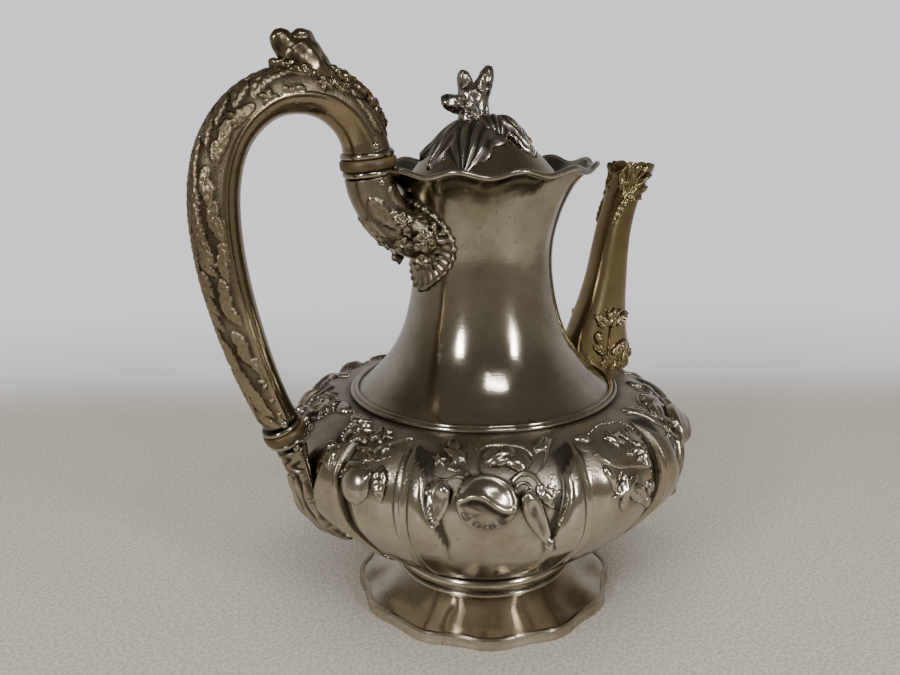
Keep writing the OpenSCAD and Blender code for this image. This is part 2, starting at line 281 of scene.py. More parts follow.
def swell(grid, amount):
    # Moves points straight away from the upright axis.
    grid[..., :2] *= (1 + amount / fromAxis(grid))[..., None]


def addField(mesh, label, values):
    layer = mesh.attributes.new(label, "FLOAT", "POINT")
    layer.data.foreach_set("value", np.asarray(values, float).ravel())


def movePoints(mesh, points):
    mesh.vertices.foreach_set("co", (points * mm).ravel())


def signedVolume(points, faces):
    total = 0.0
    for face in (faces if isinstance(faces, list) else [faces]):
        if not len(face):
            continue
        face = np.asarray(face)
        for k in range(1, face.shape[1] - 1):
            a, b, c = (points[face[:, n]] for n in (0, k, k + 1))
            total += np.einsum("ij,ij->i", a, np.cross(b, c)).sum()
    return total / 6


def makePiece(name, points, faces, material, sharp=None, **fields):
    # Mesh object at the origin from points in millimetres. faces is an array
    # of quads, or a list of arrays. Turned so that its faces point outwards.
    faces = faces if isinstance(faces, list) else [faces]
    points = np.asarray(points, float).reshape(-1, 3)
    if signedVolume(points, faces) < 0:
        faces = [np.asarray(f)[:, ::-1] for f in faces if len(f)]
    mesh = bpy.data.meshes.new(name)
    mesh.from_pydata((points * mm).tolist(), [],
                     [f for part in faces for f in np.asarray(part).tolist()])
    mesh.polygons.foreach_set("use_smooth", [True] * len(mesh.polygons))
    if sharp:
        mesh.set_sharp_from_angle(angle=math.radians(sharp))
    for label, values in fields.items():
        addField(mesh, label, values)
    mesh.materials.append(material)
    mesh.update()
    piece = bpy.data.objects.new(name, mesh)
    bpy.context.scene.collection.objects.link(piece)
    return piece


def settle(piece, body, slotName, *nodes):
    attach(piece, body)
    if nodes:
        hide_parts(*nodes)


def stand(node, points, faces, finish, slotName="silver", body="pot",
          shape=None, **more):
    # Finer piece in the place of a CAD node, shaped by a tree if one is given.
    piece = makePiece(node + "_fine", points, faces, metals[finish], **more)
    if shape:
        runTree(piece, *shape, metals[finish])
    settle(piece, body, slotName, node)


def joinParts(parts):
    # Several (points, faces) as one, each part's faces turned outwards.
    points, faces, start = [], [], 0
    for p, f in parts:
        p = np.asarray(p).reshape(-1, 3)
        f = f if isinstance(f, list) else [f]
        if signedVolume(p, f) < 0:
            f = [g[:, ::-1] for g in f]
        points.append(p)
        faces += [g + start for g in f]
        start += len(p)
    return np.concatenate(points), faces


def turned(outline, a):
    # Grid of an outline of [radius, height] turned to the directions a.
    r, z = outline[:, 0:1], outline[:, 1:2]
    return np.stack([r * np.cos(a), r * np.sin(a), z + 0 * a], -1)


def revolve(outline, turns):
    a = np.linspace(0, fullTurn, turns, endpoint=False)
    return turned(outline, a), gridFaces(len(outline), turns, wrapRows=True)


def cappedTube(grid):
    # Rings of points closed with a fan at each end.
    rows, cols = grid.shape[:2]
    points = np.concatenate([grid.reshape(-1, 3), grid[0].mean(0)[None],
                             grid[-1].mean(0)[None]])
    j = np.arange(cols)
    k = (j + 1) % cols
    last = (rows - 1) * cols
    ends = [np.stack([j * 0 + rows * cols, k, j], 1),
            np.stack([j * 0 + rows * cols + 1, last + j, last + k], 1)]
    return points, [gridFaces(rows, cols), *ends]


def roundTube(line, cols, groove=None):
    # Tube along a line of [x, y, z, radius], its section turned by least.
    line = np.asarray(line, float)
    ahead = np.gradient(line[:, :3], axis=0)
    ahead /= np.linalg.norm(ahead, axis=1)[:, None] + 1e-9
    up = np.array([0.0, 0.0, 1.0]) if abs(ahead[0][2]) < 0.8 \
        else np.array([1.0, 0.0, 0.0])
    a = np.linspace(0, fullTurn, cols, endpoint=False)
    rings = []
    for i, (point, way) in enumerate(zip(line, ahead)):
        up = up - way * np.dot(up, way)
        up /= np.linalg.norm(up)
        across = np.cross(way, up)
        r = point[3]
        if groove:
            r = r * groove(i / (len(line) - 1), a)
        rings.append(point[:3] + (np.cos(a) * r)[:, None] * up
                     + (np.sin(a) * r)[:, None] * across)
    return np.array(rings)


def lumps(points, size, seed, count=10):
    # Smooth random hills between -1 and 1 over points in space.
    rng = np.random.default_rng(seed)
    p = np.asarray(points, float)
    total = np.zeros(p.shape[:-1])
    for _ in range(count):
        way = rng.normal(size=3)
        way *= fullTurn / size / np.linalg.norm(way) * rng.uniform(0.6, 1.5)
        total += np.cos(p @ way + rng.uniform(0, fullTurn))
    return total / math.sqrt(count * 2)


def soften(field, cells):
    # Box blur run three times, the edges repeated.
    for _ in range(3):
        for axis in (0, 1):
            pad = [(cells, cells) if k == axis else (0, 0) for k in (0, 1)]
            wide = np.cumsum(np.pad(field, pad, mode="edge"), axis=axis)
            zero = np.zeros_like(np.take(wide, [0], axis=axis))
            wide = np.concatenate([zero, wide], axis=axis)
            n = 2 * cells + 1
            hi = np.take(wide, range(n, wide.shape[axis]), axis=axis)
            lo = np.take(wide, range(0, wide.shape[axis] - n), axis=axis)
            field = (hi - lo) / n
    return field


class Surface:
    # A closed tube of points that relief can be laid on, read between them.
    def __init__(self, grid, rowAt, colAt):
        self.grid, self.rowAt, self.colAt = grid, rowAt, colAt

    def at(self, along, around):
        g, first = self.grid, self.colAt[0]
        rows, cols = g.shape[:2]
        r = np.clip(np.interp(along, self.rowAt, np.arange(rows)), 0,
                    rows - 1.001)
        around = (around - first) % (self.colAt[-1] - first) + first
        c = np.clip(np.interp(around, self.colAt, np.arange(len(self.colAt))),
                    0, len(self.colAt) - 1.001)
        i, j = r.astype(int), c.astype(int)
        u, v = (r - i)[..., None], (c - j)[..., None]
        k = (j + 1) % cols
        j = j % cols
        return ((1 - u) * ((1 - v) * g[i, j] + v * g[i, k])
                + u * ((1 - v) * g[i + 1, j] + v * g[i + 1, k]))

    def frame(self, along, around, stepAlong, stepAround):
        # Points and outward normals.
        da = self.at(along + stepAlong, around) \
            - self.at(along - stepAlong, around)
        db = self.at(along, around + stepAround) \
            - self.at(along, around - stepAround)
        n = np.cross(db, da)
        n /= np.linalg.norm(n, axis=-1)[..., None] + 1e-9
        return self.at(along, around), n


def reliefPatch(height, points, normals, sink=0.7):
    # Closed solid of the cells where the relief stands above the surface.
    rows, cols = height.shape
    h = np.maximum(height, -sink * 0.6)
    top = points + normals * h[..., None]
    low = points - normals * sink
    cell = np.maximum.reduce([height[:-1, :-1], height[1:, :-1],
                              height[:-1, 1:], height[1:, 1:]]) > 0
    i, j = np.nonzero(cell)
    at = np.arange(rows * cols).reshape(rows, cols)
    quads = np.stack([at[i, j], at[i, j + 1], at[i + 1, j + 1], at[i + 1, j]],
                     1)
    n = rows * cols
    faces = [quads, quads[:, ::-1] + n]
    wide = np.pad(cell, 1)
    for di, dj, a, b in ((-1, 0, 0, 1), (1, 0, 2, 3), (0, -1, 3, 0),
                         (0, 1, 1, 2)):
        q = quads[~wide[i + 1 + di, j + 1 + dj]]
        faces.append(np.stack([q[:, b], q[:, a], q[:, a] + n, q[:, b] + n],
                              1))
    faces = np.concatenate(faces)
    used, back = np.unique(faces, return_inverse=True)
    allPoints = np.concatenate([top.reshape(-1, 3), low.reshape(-1, 3)])[used]
    dip = np.clip(soften(np.maximum(height, 0), 3) - np.maximum(height, 0),
                  0, 2)
    dip = np.concatenate([dip.ravel(), dip.ravel()])[used]
    return allPoints, back.reshape(faces.shape), dip


def local(x, y, place, turn):
    # Coordinates along and across a motif that points at `turn` degrees.
    a = math.radians(turn)
    dx, dy = x - place[0], y - place[1]
    return dx * math.cos(a) + dy * math.sin(a), \
        -dx * math.sin(a) + dy * math.cos(a)


def domed(d):
    return np.sqrt(np.clip(d, 0, 1))


def within(inside, height, least=0.15):
    # The motif's height where it is, and -1 round it.
    return np.where(inside, np.maximum(height, least), -1.0)


# In a row of motifs the first word is what it is, then what the function of
# that name takes after x and y, in its order.
def leaf(x, y, place, turn, length, width, rise=1.2, ribs=5, curl=0.0):
    a, b = local(x, y, place, turn)
    t = np.clip(a / length, 0, 1)
    b = b - curl * width * np.sin(math.pi * t)
    edge = width / 2 * np.sin(math.pi * t**0.7)**0.85 \
        * (1 + 0.07 * np.cos(fullTurn * ribs * t))
    edge = np.maximum(edge, 1e-3)
    d = 1 - (b / edge)**2
    inside = (d > 0) & (a > 0) & (a < length)
    vein = 0.13 * rise * np.cos(fullTurn * (ribs * t - np.abs(b) / edge * 0.7))
    h = rise * (0.35 + 0.65 * domed(d)) + vein \
        * np.clip(d * 3, 0, 1) - 0.45 * rise * np.exp(-(b / 0.45)**2)
    return within(inside, h, 0.12)


def ivyLeaf(x, y, place, turn, size, rise=1.3):
    a, b = local(x, y, place, turn)
    rho, th = np.hypot(a, b), np.arctan2(b, a)
    edge = np.full_like(rho, 0.36)
    veins = np.zeros_like(rho)
    for at, reach in ((0, 1.0), (1.05, 0.86), (-1.05, 0.86), (2.15, 0.66),
                      (-2.15, 0.66)):
        off = np.arctan2(np.sin(th - at), np.cos(th - at))
        edge = np.maximum(edge, reach * np.exp(-(off / 0.42)**2)
                          + 0.02 * np.cos(off * 22))
        veins = np.maximum(veins, np.exp(-(rho * np.sin(off) / 0.42)**2)
                           * (np.cos(off) > 0))
    edge = edge * size
    d = 1 - (rho / edge)**2
    h = rise * (0.3 + 0.55 * domed(d)) \
        + 0.3 * rise * veins * np.clip(d * 2, 0, 1)
    return within(d > 0, h, 0.12)


def openPod(x, y, place, half, rise=4.2):
    # Big seed pod: a smooth swelling above a wavy lip, seeds below.
    a, b = (x - place[0]) / half[0], (y - place[1]) / half[1]
    rho2 = a * a + b * b
    dome = rise * np.sqrt(np.clip(1 - rho2 * 0.93, 0, 1))
    lip = -0.02 + 0.17 * np.sin(a * 3.6 + 2.6) - 0.12 * a
    under = ramp(lip - b, 0.0, 0.1)
    seeds = 0.45 + 0.55 * np.cos(np.arctan2(b + 0.35, a) * 9) \
        * np.clip(np.hypot(a, b + 0.35) * 2, 0, 1)
    inner = 0.24 * dome + 0.5 * seeds
    ring = 1.0 * np.exp(-((np.sqrt(rho2) - 0.92) / 0.09)**2)
    lipLine = 0.9 * np.exp(-((b - lip - 0.05) / 0.13)**2) \
        * np.clip((1 - rho2) * 4, 0, 1)
    h = dome * (1 - under) + inner * under + ring + lipLine
    return within(rho2 < 1.05, h)


def longPod(x, y, start, end, width, rise=2.4, slot=0.5):
    way = np.array(end) - np.array(start)
    length = np.hypot(*way)
    a, b = local(x, y, start, math.degrees(math.atan2(way[1], way[0])))
    t = np.clip(a / length, 0, 1)
    edge = np.maximum(width / 2 * np.sin(math.pi * t**0.62)**0.7, 1e-3)
    q = b / edge
    d = 1 - q * q
    h = rise * (0.25 + 0.75 * domed(d))
    split = np.exp(-((q - 0.1) / 0.34)**4) * ramp(t, 0.14, 0.3) \
        * (1 - ramp(t, 0.8, 0.95))
    h = h - slot * rise * split + 0.12 * split * np.cos(t * 16)
    bead = 0.95 - np.hypot(x - end[0], y - end[1])
    h = within((d > 0) & (a > 0) & (a < length), h)
    return np.maximum(h, np.where(bead > 0, 0.5 + bead, -1.0))


def bud(x, y, place, half, turn=0, rise=1.9, folds=2):
    a, b = local(x, y, place, turn)
    a, b = a / half[0], b / half[1]
    d = 1 - a * a - b * b
    h = rise * domed(d) \
        - 0.3 * rise * np.exp(-((b - 0.25 * np.cos(a * 2.4)) / 0.13)**2) \
        * (folds > 0) - 0.25 * rise * np.exp(-((b + 0.45) / 0.12)**2) \
        * (folds > 1)
    return within(d > 0, h)


def stem(x, y, points, radius=0.75, taper=0.5):
    best = np.full_like(x, -1.0)
    for k, (px, py) in enumerate(smoothPath(points, 26)):
        r = radius * (1 - taper * k / 25)
        d = 1 - ((x - px)**2 + (y - py)**2) / (r * r)
        best = np.maximum(best, np.where(
            d > 0, r * 1.15 * domed(d) + 0.12, -1.0))
    return best


def curlEnd(x, y, place, size, turn=0, hand=1):
    # A stem that rolls up on itself with a ball at its end.
    t = np.linspace(0, 1, 9)
    a = math.radians(turn) + hand * t * 4.6
    r = size * (1 - 0.72 * t)
    points = np.stack([place[0] + r * np.cos(a), place[1] + r * np.sin(a)], 1)
    ball = bud(x, y, points[-1], (size * 0.34, size * 0.34), rise=1.1, folds=0)
    return np.maximum(stem(x, y, points, 0.62, 0.2), ball)


def rosette(x, y, place, size, petals=5, turn=0, rise=1.2):
    a, b = local(x, y, place, turn)
    rho, th = np.hypot(a, b), np.arctan2(b, a)
    edge = size * (0.74 + 0.26 * np.cos(petals * th))
    d = 1 - (rho / edge)**2
    cup = rise * (0.45 + 0.5 * np.cos(petals * th)) \
        * np.clip(np.sin(math.pi * np.clip(rho / size, 0, 1)), 0, 1)
    heart = 0.8 * rise * np.sqrt(np.clip(1 - (rho / (0.27 * size))**2, 0, 1))
    return within(d > 0, 0.25 + cup + heart)


def berries(x, y, place, size, spots, rise=1.1):
    best = np.full_like(x, -1.0)
    for dx, dy in spots:
        d = 1 - ((x - place[0] - dx * size)**2
                 + (y - place[1] - dy * size)**2) / (0.55 * size)**2
        best = np.maximum(best, np.where(d > 0, 0.1 + rise * domed(d), -1.0))
    return best


def fan(x, y, place, turn, size, ribs=5, rise=1.1, spread=62):
    a, b = local(x, y, place, turn)
    rho, th = np.hypot(a, b), np.degrees(np.arctan2(b, a))
    wave = np.cos(np.radians(th) * ribs * 360 / (2 * spread))
    h = rise * (0.45 + 0.45 * wave) * (0.4 + 0.6 * rho / size)
    return within((rho < size * (0.88 + 0.12 * wave))
                  & (np.abs(th) < spread), h)


def together(x, y, motifs):
    return np.maximum.reduce([make(x, y, *rest) for make, *rest in motifs])


bunch = [(0, 0), (1, 0.1), (0.5, 0.9), (-0.5, 0.8), (0.1, -0.9), (-0.9, 0),
         (0.9, -0.8), (-0.8, -0.9)]

podField = [  # front of each wide lobe, [across, along] from its middle
    (openPod, (-3.6, 7.4), (11.0, 9.6)),
    (longPod, (-19.4, 14.6), (-21.8, -1.2), 8.6, 2.2, 0.35),
    (bud, (-18.6, 11.2), (2.7, 3.4), 70, 2.6, 0),
    (leaf, (-23.0, 13.6), -84, 9.5, 4.2, 1.5, 3),
    (longPod, (9.6, 11.2), (19.6, -11.6), 7.8, 2.9),
    (stem, [(3.8, 10.6), (5.6, 14.6), (9.4, 17.0), (13.4, 15.8), (15.4, 11.6),
            (14.6, 8.6)], 1.2, 0.25),
    (stem, [(6.0, 11.8), (8.4, 13.6), (11.2, 13.2), (12.6, 10.4)], 0.8, 0.2),
    (fan, (17.2, 5.6), 76, 7.6, 5, 1.3, 50),
    (leaf, (16.0, 9.8), -52, 8.5, 3.6, 1.3, 3),
    (bud, (1.6, 24.6), (6.4, 4.6), 24, 2.4, 2),
    (bud, (7.6, 21.8), (5.4, 3.8), -28, 2.0, 1),
    (leaf, (-4.0, 21.4), 32, 10.5, 4.4, 1.5),
    (stem, [(-4.8, 16.0), (-6.2, 21.0), (-5.8, 26.8), (-8.4, 32.6)], 0.8),
    (stem, [(-5.8, 26.8), (-2.2, 30.8), (4.2, 31.2), (11.6, 27.6),
            (13.4, 21.4), (10.0, 18.2)], 0.75, 0.3),
    (stem, [(21.0, 31.4), (19.2, 25.6), (17.6, 19.6), (15.2, 16.4)], 0.8, 0.2),
    (leaf, (15.0, 25.0), 62, 10.5, 5.2, 1.3),
    (leaf, (-10.4, 23.0), 152, 9.4, 5.4, 1.5),
    (leaf, (-14.0, 27.4), 98, 8.2, 4.6, 1.2),
    (curlEnd, (-13.8, 21.0), 3.4, 200, 1),
    (fan, (-12.8, 18.0), 118, 5.2, 4, 1.2, 60),
    (stem, [(-9.8, 14.4), (-13.6, 16.2), (-18.4, 14.8), (-22.2, 16.2)], 0.8),
    (leaf, (-8.8, 15.2), 136, 6.4, 3.2, 1.1, 3),
    (rosette, (-20.2, 22.0), 3.0, 5, 20, 1.1),
]

ivyField = [  # narrow panel towards the spout
    (ivyLeaf, (-4.6, 5.2), -38, 9.6, 1.9),
    (leaf, (-1.6, 4.6), -46, 12.4, 6.6, 1.9, 5, 0.1),
    (ivyLeaf, (0.6, 23.6), 22, 6.2, 1.1),
    (stem, [(-11.6, 19.6), (-6.8, 14.2), (2.0, 11.6), (9.0, 9.4),
            (14.6, 8.0)], 0.9, 0.3),
    (stem, [(-10.0, 12.6), (-9.4, 7.8), (-8.4, 3.2)], 0.8, 0.3),
    (leaf, (-10.6, 15.4), -78, 8.6, 4.0, 1.3),
    (rosette, (9.4, 15.2), 4.4, 5, 10, 1.6),
    (berries, (4.2, 15.6), 1.5, [(0, 0), (1.1, 0.2), (-1, 0.5)]),
    (fan, (8.6, 18.2), 52, 8.2, 6, 1.2, 68),
    (berries, (10.2, 1.6), 1.7, bunch, 1.3),
    (leaf, (8.2, -2.0), -66, 6.8, 4.0, 1.3),
    (stem, [(-6.0, 30.6), (2.4, 33.4), (11.6, 30.0), (15.8, 22.6),
            (14.8, 14.2), (13.2, 6.4)], 0.7, 0.2),
    (leaf, (12.6, 8.6), 132, 6.2, 3.4, 1.2),
    (leaf, (-8.4, 26.6), 152, 5.8, 3.8, 1.0),
]

fruitField = [  # narrow panel beside the handle
    (bud, (-6.4, 8.2), (7.6, 8.0), 10, 2.8, 0),
    (rosette, (-4.6, 29.8), 5.4, 6, 0, 1.4),
    (leaf, (3.4, 16.8), -76, 14.0, 6.2, 1.8),
    (leaf, (-0.4, 15.0), -96, 11.5, 4.4, 1.6),
    (curlEnd, (-3.6, 18.4), 4.2, 160, -1),
    (stem, [(-11.6, 19.6), (-6.0, 20.8), (0.6, 18.0), (5.0, 20.8)], 0.9),
    (stem, [(7.6, 31.6), (2.4, 27.0), (-2.6, 21.4)], 0.8, 0.2),
    (leaf, (-9.6, 22.0), 120, 8.6, 5.0, 1.2),
    (berries, (1.2, 23.4), 1.5, bunch[:5], 1.1),
]

vineField = [  # lobe that carries the handle
    (ivyLeaf, (14.0, 27.6), 20, 8.2, 1.6),
    (ivyLeaf, (-14.0, 27.6), 160, 8.2, 1.6),
    (leaf, (3.0, 33.0), 12, 11.0, 5.6, 1.3),
    (leaf, (-3.0, 33.0), 168, 11.0, 5.6, 1.3),
    (stem, [(-17.0, 20.0), (-11.0, 22.6), (-8.6, 29.4), (0, 36.0),
            (8.6, 29.4), (11.0, 22.6), (17.0, 20.0)], 0.8, 0.0),
    (leaf, (14.6, 19.0), -58, 10.0, 5.0, 1.4),
    (leaf, (-14.6, 19.0), -122, 10.0, 5.0, 1.4),
    (berries, (10.2, 17.2), 1.5, bunch[:6]),
    (berries, (-10.2, 17.2), 1.5, bunch[:6]),
]

reedField = [  # panel under the spout
    (leaf, (8.4, 6.0), 74, 16.0, 6.6, 1.5),
    (leaf, (-8.4, 6.0), 106, 16.0, 6.6, 1.5),
    (ivyLeaf, (15.6, 16.0), 40, 7.4, 1.4),
    (ivyLeaf, (-15.6, 16.0), 140, 7.4, 1.4),
    (rosette, (0, 6.4), 5.2, 6, 0, 1.6),
    (stem, [(20.0, 30.0), (16.0, 22.0), (11.0, 12.0), (3.0, 3.0),
            (-3.0, 3.0), (-11.0, 12.0), (-16.0, 22.0), (-20.0, 30.0)], 0.9,
     0.0),
    (leaf, (20.0, 6.0), -100, 9.0, 4.4, 1.2),
    (leaf, (-20.0, 6.0), -80, 9.0, 4.4, 1.2),
]


def agedMetal():
    # Shared effect: clean metal, clouded tarnish, blue-brown stain patches
    # and painted shade with grime in the recesses.
    tree = bpy.data.node_groups.new("agedMetal", "ShaderNodeTree")
    for kind, labels in (
            ("Vector", ("Vector",)),
            ("Color", ("Clean", "Tarnish", "Stain", "Grime_Shade")),
            ("Float", ("Cloud Size", "Tarnish Amount", "Stain Amount",
                       "Recess", "Matting", "Shine"))):
        for label in labels:
            addSocket(tree, label, "INPUT", kind)
    addSocket(tree, "Colour", "OUTPUT", "Color")
    addSocket(tree, "Roughness", "OUTPUT", "Float")
    addSocket(tree, "Height", "OUTPUT", "Float")
    start = add(tree, "NodeGroupInput")
    given = {socket.name: Wire(tree, socket) for socket in start.outputs
             if socket.name}

    def noise(scale, detail, rough=0.55, stretch=(1, 1, 1)):
        place = add(tree, "ShaderNodeMapping",
                    {"Vector": given["Vector"], "Scale": stretch})
        return wire(tree, "ShaderNodeTexNoise", "Fac",
                    {"Vector": place.outputs["Vector"], "Scale": scale,
                     "Detail": detail, "Roughness": rough})

    size = given["Cloud Size"]
    clouds = noise(size, 6, 0.62).ramp(0.38, 0.64)
    fine = noise(size * 7.0, 4).ramp(0.35, 0.7)
    tarnish = (clouds * 0.7 + fine * 0.3) * given["Tarnish Amount"]
    stains = noise(size * 1.7 + 11.0, 5, 0.6).ramp(0.57, 0.7) \
        * given["Stain Amount"]
    freckles = noise(620.0, 3).ramp(0.62, 0.72) * 0.45
    # Painted shade with grime: the recess field darkens the colour and
    # roughens it.
    grime_shade = given["Recess"].ramp(0.02, 0.75)
    colour = mixed(tree, tarnish, given["Clean"], given["Tarnish"])
    colour = mixed(tree, stains, colour, given["Stain"])
    colour = mixed(tree, grime_shade * 0.85 + freckles * given["Tarnish Amount"],
                   colour, given["Grime_Shade"])
    rough = given["Shine"] + tarnish * 0.1 + grime_shade * 0.2 \
        + given["Matting"] * 0.16 + fine * 0.03
    scratches = noise(260.0, 2, 0.6, (1, 1, 9)) * 0.3 + noise(42.0, 2) * 1.4
    matting = noise(1300.0, 1) * given["Matting"] * 2.6
    add(tree, "NodeGroupOutput", {"Colour": colour, "Roughness": rough,
                                  "Height": scratches + matting})
    return tree


def newMaterial(name):
    # Material with its tree, its shader and the object's own coordinates.
    material = bpy.data.materials.new(name)
    material.use_nodes = True
    tree = material.node_tree
    place = add(tree, "ShaderNodeTexCoord").outputs["Object"]
    return material, tree, tree.nodes["Principled BSDF"], place


def fill(tree, shader, values, bumps=None, strength=0.3):
    # Sets a shader's inputs, with a bump of a fifth of a millimetre.
    if bumps:
        bump = add(tree, "ShaderNodeBump", {
            "Strength": strength, "Distance": 0.0002, "Height": bumps})
        values["Normal"] = bump.outputs["Normal"]
    for slot, value in values.items():
        join(tree, value, shader.inputs[slot])


def metal(name, group, look):
    material, tree, shader, place = newMaterial(name)
    given = {"Vector": place}
    for key in ("clean", "tarnish", "stain", "grime_shade"):
        given[key.title()] = (*look[key], 1)
    for label, key in (("Cloud Size", "clouds"),
                       ("Tarnish Amount", "tarnished"),
                       ("Stain Amount", "stained"), ("Shine", "rough")):
        given[label] = look[key]
    for key in ("recess", "matting"):
        given[key.title()] = wire(tree, "ShaderNodeAttribute", "Fac",
                                  attribute_name=key)
    age = add(tree, "ShaderNodeGroup", given, node_tree=group).outputs
    fill(tree, shader, {"Metallic": 1.0, "Base Color": age["Colour"],
                        "Roughness": age["Roughness"]},
         age["Height"], look.get("bump", 0.35))
    return material


metalLooks = {
    "bodySilver": {
        "clean": (0.5, 0.455, 0.37), "tarnish": (0.26, 0.21, 0.14),
        "stain": (0.13, 0.07, 0.04), "grime_shade": (0.022, 0.017, 0.013),
        "clouds": 16.0, "tarnished": 0.85, "stained": 0.6, "rough": 0.1},
    "neckSilver": {
        "clean": (0.43, 0.395, 0.32), "tarnish": (0.22, 0.185, 0.12),
        "stain": (0.11, 0.08, 0.08), "grime_shade": (0.022, 0.018, 0.014),
        "clouds": 13.0, "tarnished": 0.85, "stained": 0.35, "rough": 0.1},
    "footSilver": {
        "clean": (0.58, 0.525, 0.43), "tarnish": (0.3, 0.25, 0.165),
        "stain": (0.12, 0.08, 0.055), "grime_shade": (0.022, 0.018, 0.014),
        "clouds": 15.0, "tarnished": 0.85, "stained": 0.4, "rough": 0.11},
    "ornamentSilver": {
        "clean": (0.54, 0.5, 0.42), "tarnish": (0.25, 0.2, 0.14),
        "stain": (0.09, 0.07, 0.085), "grime_shade": (0.012, 0.01, 0.008),
        "clouds": 30.0, "tarnished": 0.85, "stained": 0.45, "rough": 0.14},
    "handleSilver": {
        "clean": (0.35, 0.29, 0.195), "tarnish": (0.18, 0.135, 0.08),
        "stain": (0.1, 0.065, 0.045), "grime_shade": (0.02, 0.015, 0.01),
        "clouds": 15.0, "tarnished": 0.85, "stained": 0.4, "rough": 0.13},
    "spoutGilt": {
        "clean": (0.38, 0.31, 0.18), "tarnish": (0.21, 0.15, 0.07),
        "stain": (0.1, 0.065, 0.035), "grime_shade": (0.022, 0.015, 0.009),
        "clouds": 14.0, "tarnished": 0.9, "stained": 0.35, "rough": 0.17},
    "socketSilver": {
        "clean": (0.4, 0.355, 0.27), "tarnish": (0.2, 0.16, 0.105),
        "stain": (0.07, 0.06, 0.065), "grime_shade": (0.012, 0.01, 0.009),
        "clouds": 24.0, "tarnished": 0.85, "stained": 0.5, "rough": 0.19},
    "castSilver": {
        "clean": (0.42, 0.38, 0.32), "tarnish": (0.2, 0.165, 0.125),
        "stain": (0.26, 0.31, 0.34), "grime_shade": (0.012, 0.011, 0.01),
        "clouds": 45.0, "tarnished": 0.9, "stained": 0.7, "rough": 0.17,
        "bump": 0.8},
    "dullSilver": {
        "clean": (0.38, 0.345, 0.28), "tarnish": (0.22, 0.18, 0.13),
        "stain": (0.09, 0.07, 0.06), "grime_shade": (0.02, 0.018, 0.016),
        "clouds": 30.0, "tarnished": 0.9, "stained": 0.4, "rough": 0.22},
}
hornLook = {
    "dark": (0.035, 0.02, 0.006, 1), "light": (0.12, 0.078, 0.024, 1),
    "rough": 0.32, "streaks": 60.0,
}


def horn(look):
    material, tree, shader, place = newMaterial("agedHorn")
    along = add(tree, "ShaderNodeMapping", {"Vector": place,
                                            "Scale": (1, 1, 5)})
    grain = wire(tree, "ShaderNodeTexNoise", "Fac",
                 {"Vector": along.outputs["Vector"],
                  "Scale": look["streaks"], "Detail": 6})
    fill(tree, shader, {
        "Base Color": twoTone(tree, grain, 0.35, look["dark"], 0.68,
                              look["light"]),
        "Roughness": grain * 0.25 + look["rough"]}, grain)
    return material


floorLook = {
    "size": 4.0, "pale": (0.5, 0.465, 0.4, 1), "speck": (0.36, 0.33, 0.28, 1),
    "specks": 700.0, "sweep": (0.74, 0.73, 0.76, 1),
    "sweepFrom": 0.2, "sweepTo": 0.34,   # metres behind the pot
    "fadeFrom": 0.28, "fadeTo": 0.58,     # metres from the fade's middle
    "back": (0.52, 0.855),                # the way that counts as behind
}


def makeFloor(look):
    # Speckled table that turns into a pale backdrop behind the pot.
    bpy.ops.mesh.primitive_plane_add(size=look["size"])
    floor = bpy.context.object
    floor.name = "floor"
    material, tree, shader, place = newMaterial("paleTable")
    specks = wire(tree, "ShaderNodeTexNoise", "Fac",
                  {"Vector": place, "Scale": look["specks"], "Detail": 3})
    table = twoTone(tree, specks, 0.4, look["speck"], 0.6, look["pale"])
    parts = add(tree, "ShaderNodeSeparateXYZ", {"Vector": place})
    x, y = Wire(tree, parts.outputs["X"]), Wire(tree, parts.outputs["Y"])
    behind = x * look["back"][0] + y * look["back"][1]
    wide = (x * look["back"][1] - y * look["back"][0]) * 0.5
    away = (behind * behind + wide * wide).math("SQRT")
    fill(tree, shader, {
        "Roughness": 0.6,
        "Base Color": mixed(tree, behind.ramp(look["sweepFrom"],
                                              look["sweepTo"]),
                            table, look["sweep"]),
        "Alpha": away.ramp(look["fadeFrom"], look["fadeTo"]).flip()})
    floor.data.materials.append(material)


worldLook = {"seen": (0.66, 0.65, 0.7, 1), "seenPower": 1.55,
             "room": (0.17, 0.153, 0.123, 1),
             "below": (0.37, 0.34, 0.28, 1), "wall": (0.62, 0.6, 0.6, 1),
             "roomPower": 0.8}


def makeWorld(look):
    # The eye sees a plain pale wall. The metal reflects a dim room with a
    # paler wall behind it.
    world = bpy.data.worlds.new("room")
    bpy.context.scene.world = world
    world.use_nodes = True
    tree = world.node_tree
    tree.nodes.clear()
    place = add(tree, "ShaderNodeTexCoord").outputs["Generated"]
    parts = add(tree, "ShaderNodeSeparateXYZ", {"Vector": place})
    x, y, z = (Wire(tree, parts.outputs[k]) for k in "XYZ")
    share = (x * 0.5 + y * 0.83).ramp(-0.1, 0.8) * z.ramp(0.85, 0.3)
    low = mixed(tree, z.ramp(-0.1, 0.6), look["below"], look["room"])
    room = wire(tree, "ShaderNodeBackground", "Background",
                {"Color": mixed(tree, share, low, look["wall"]),
                 "Strength": look["roomPower"]})
    seen = wire(tree, "ShaderNodeBackground", "Background",
                {"Color": look["seen"], "Strength": look["seenPower"]})
    eye = wire(tree, "ShaderNodeLightPath", "Is Camera Ray")
    both = wire(tree, "ShaderNodeMixShader", "Shader",
                {"Fac": eye, 1: room, 2: seen})
    add(tree, "ShaderNodeOutputWorld", {"Surface": both})


makeCamera(viewSettings)
makeLights(lightSettings)
makeWorld(worldLook)
makeFloor(floorLook)
ageing = agedMetal()
metals = {name: metal(name, ageing, look) for name, look in metalLooks.items()}
agedHorn = horn(hornLook)
print("camera, lights, floor and finishes ready")


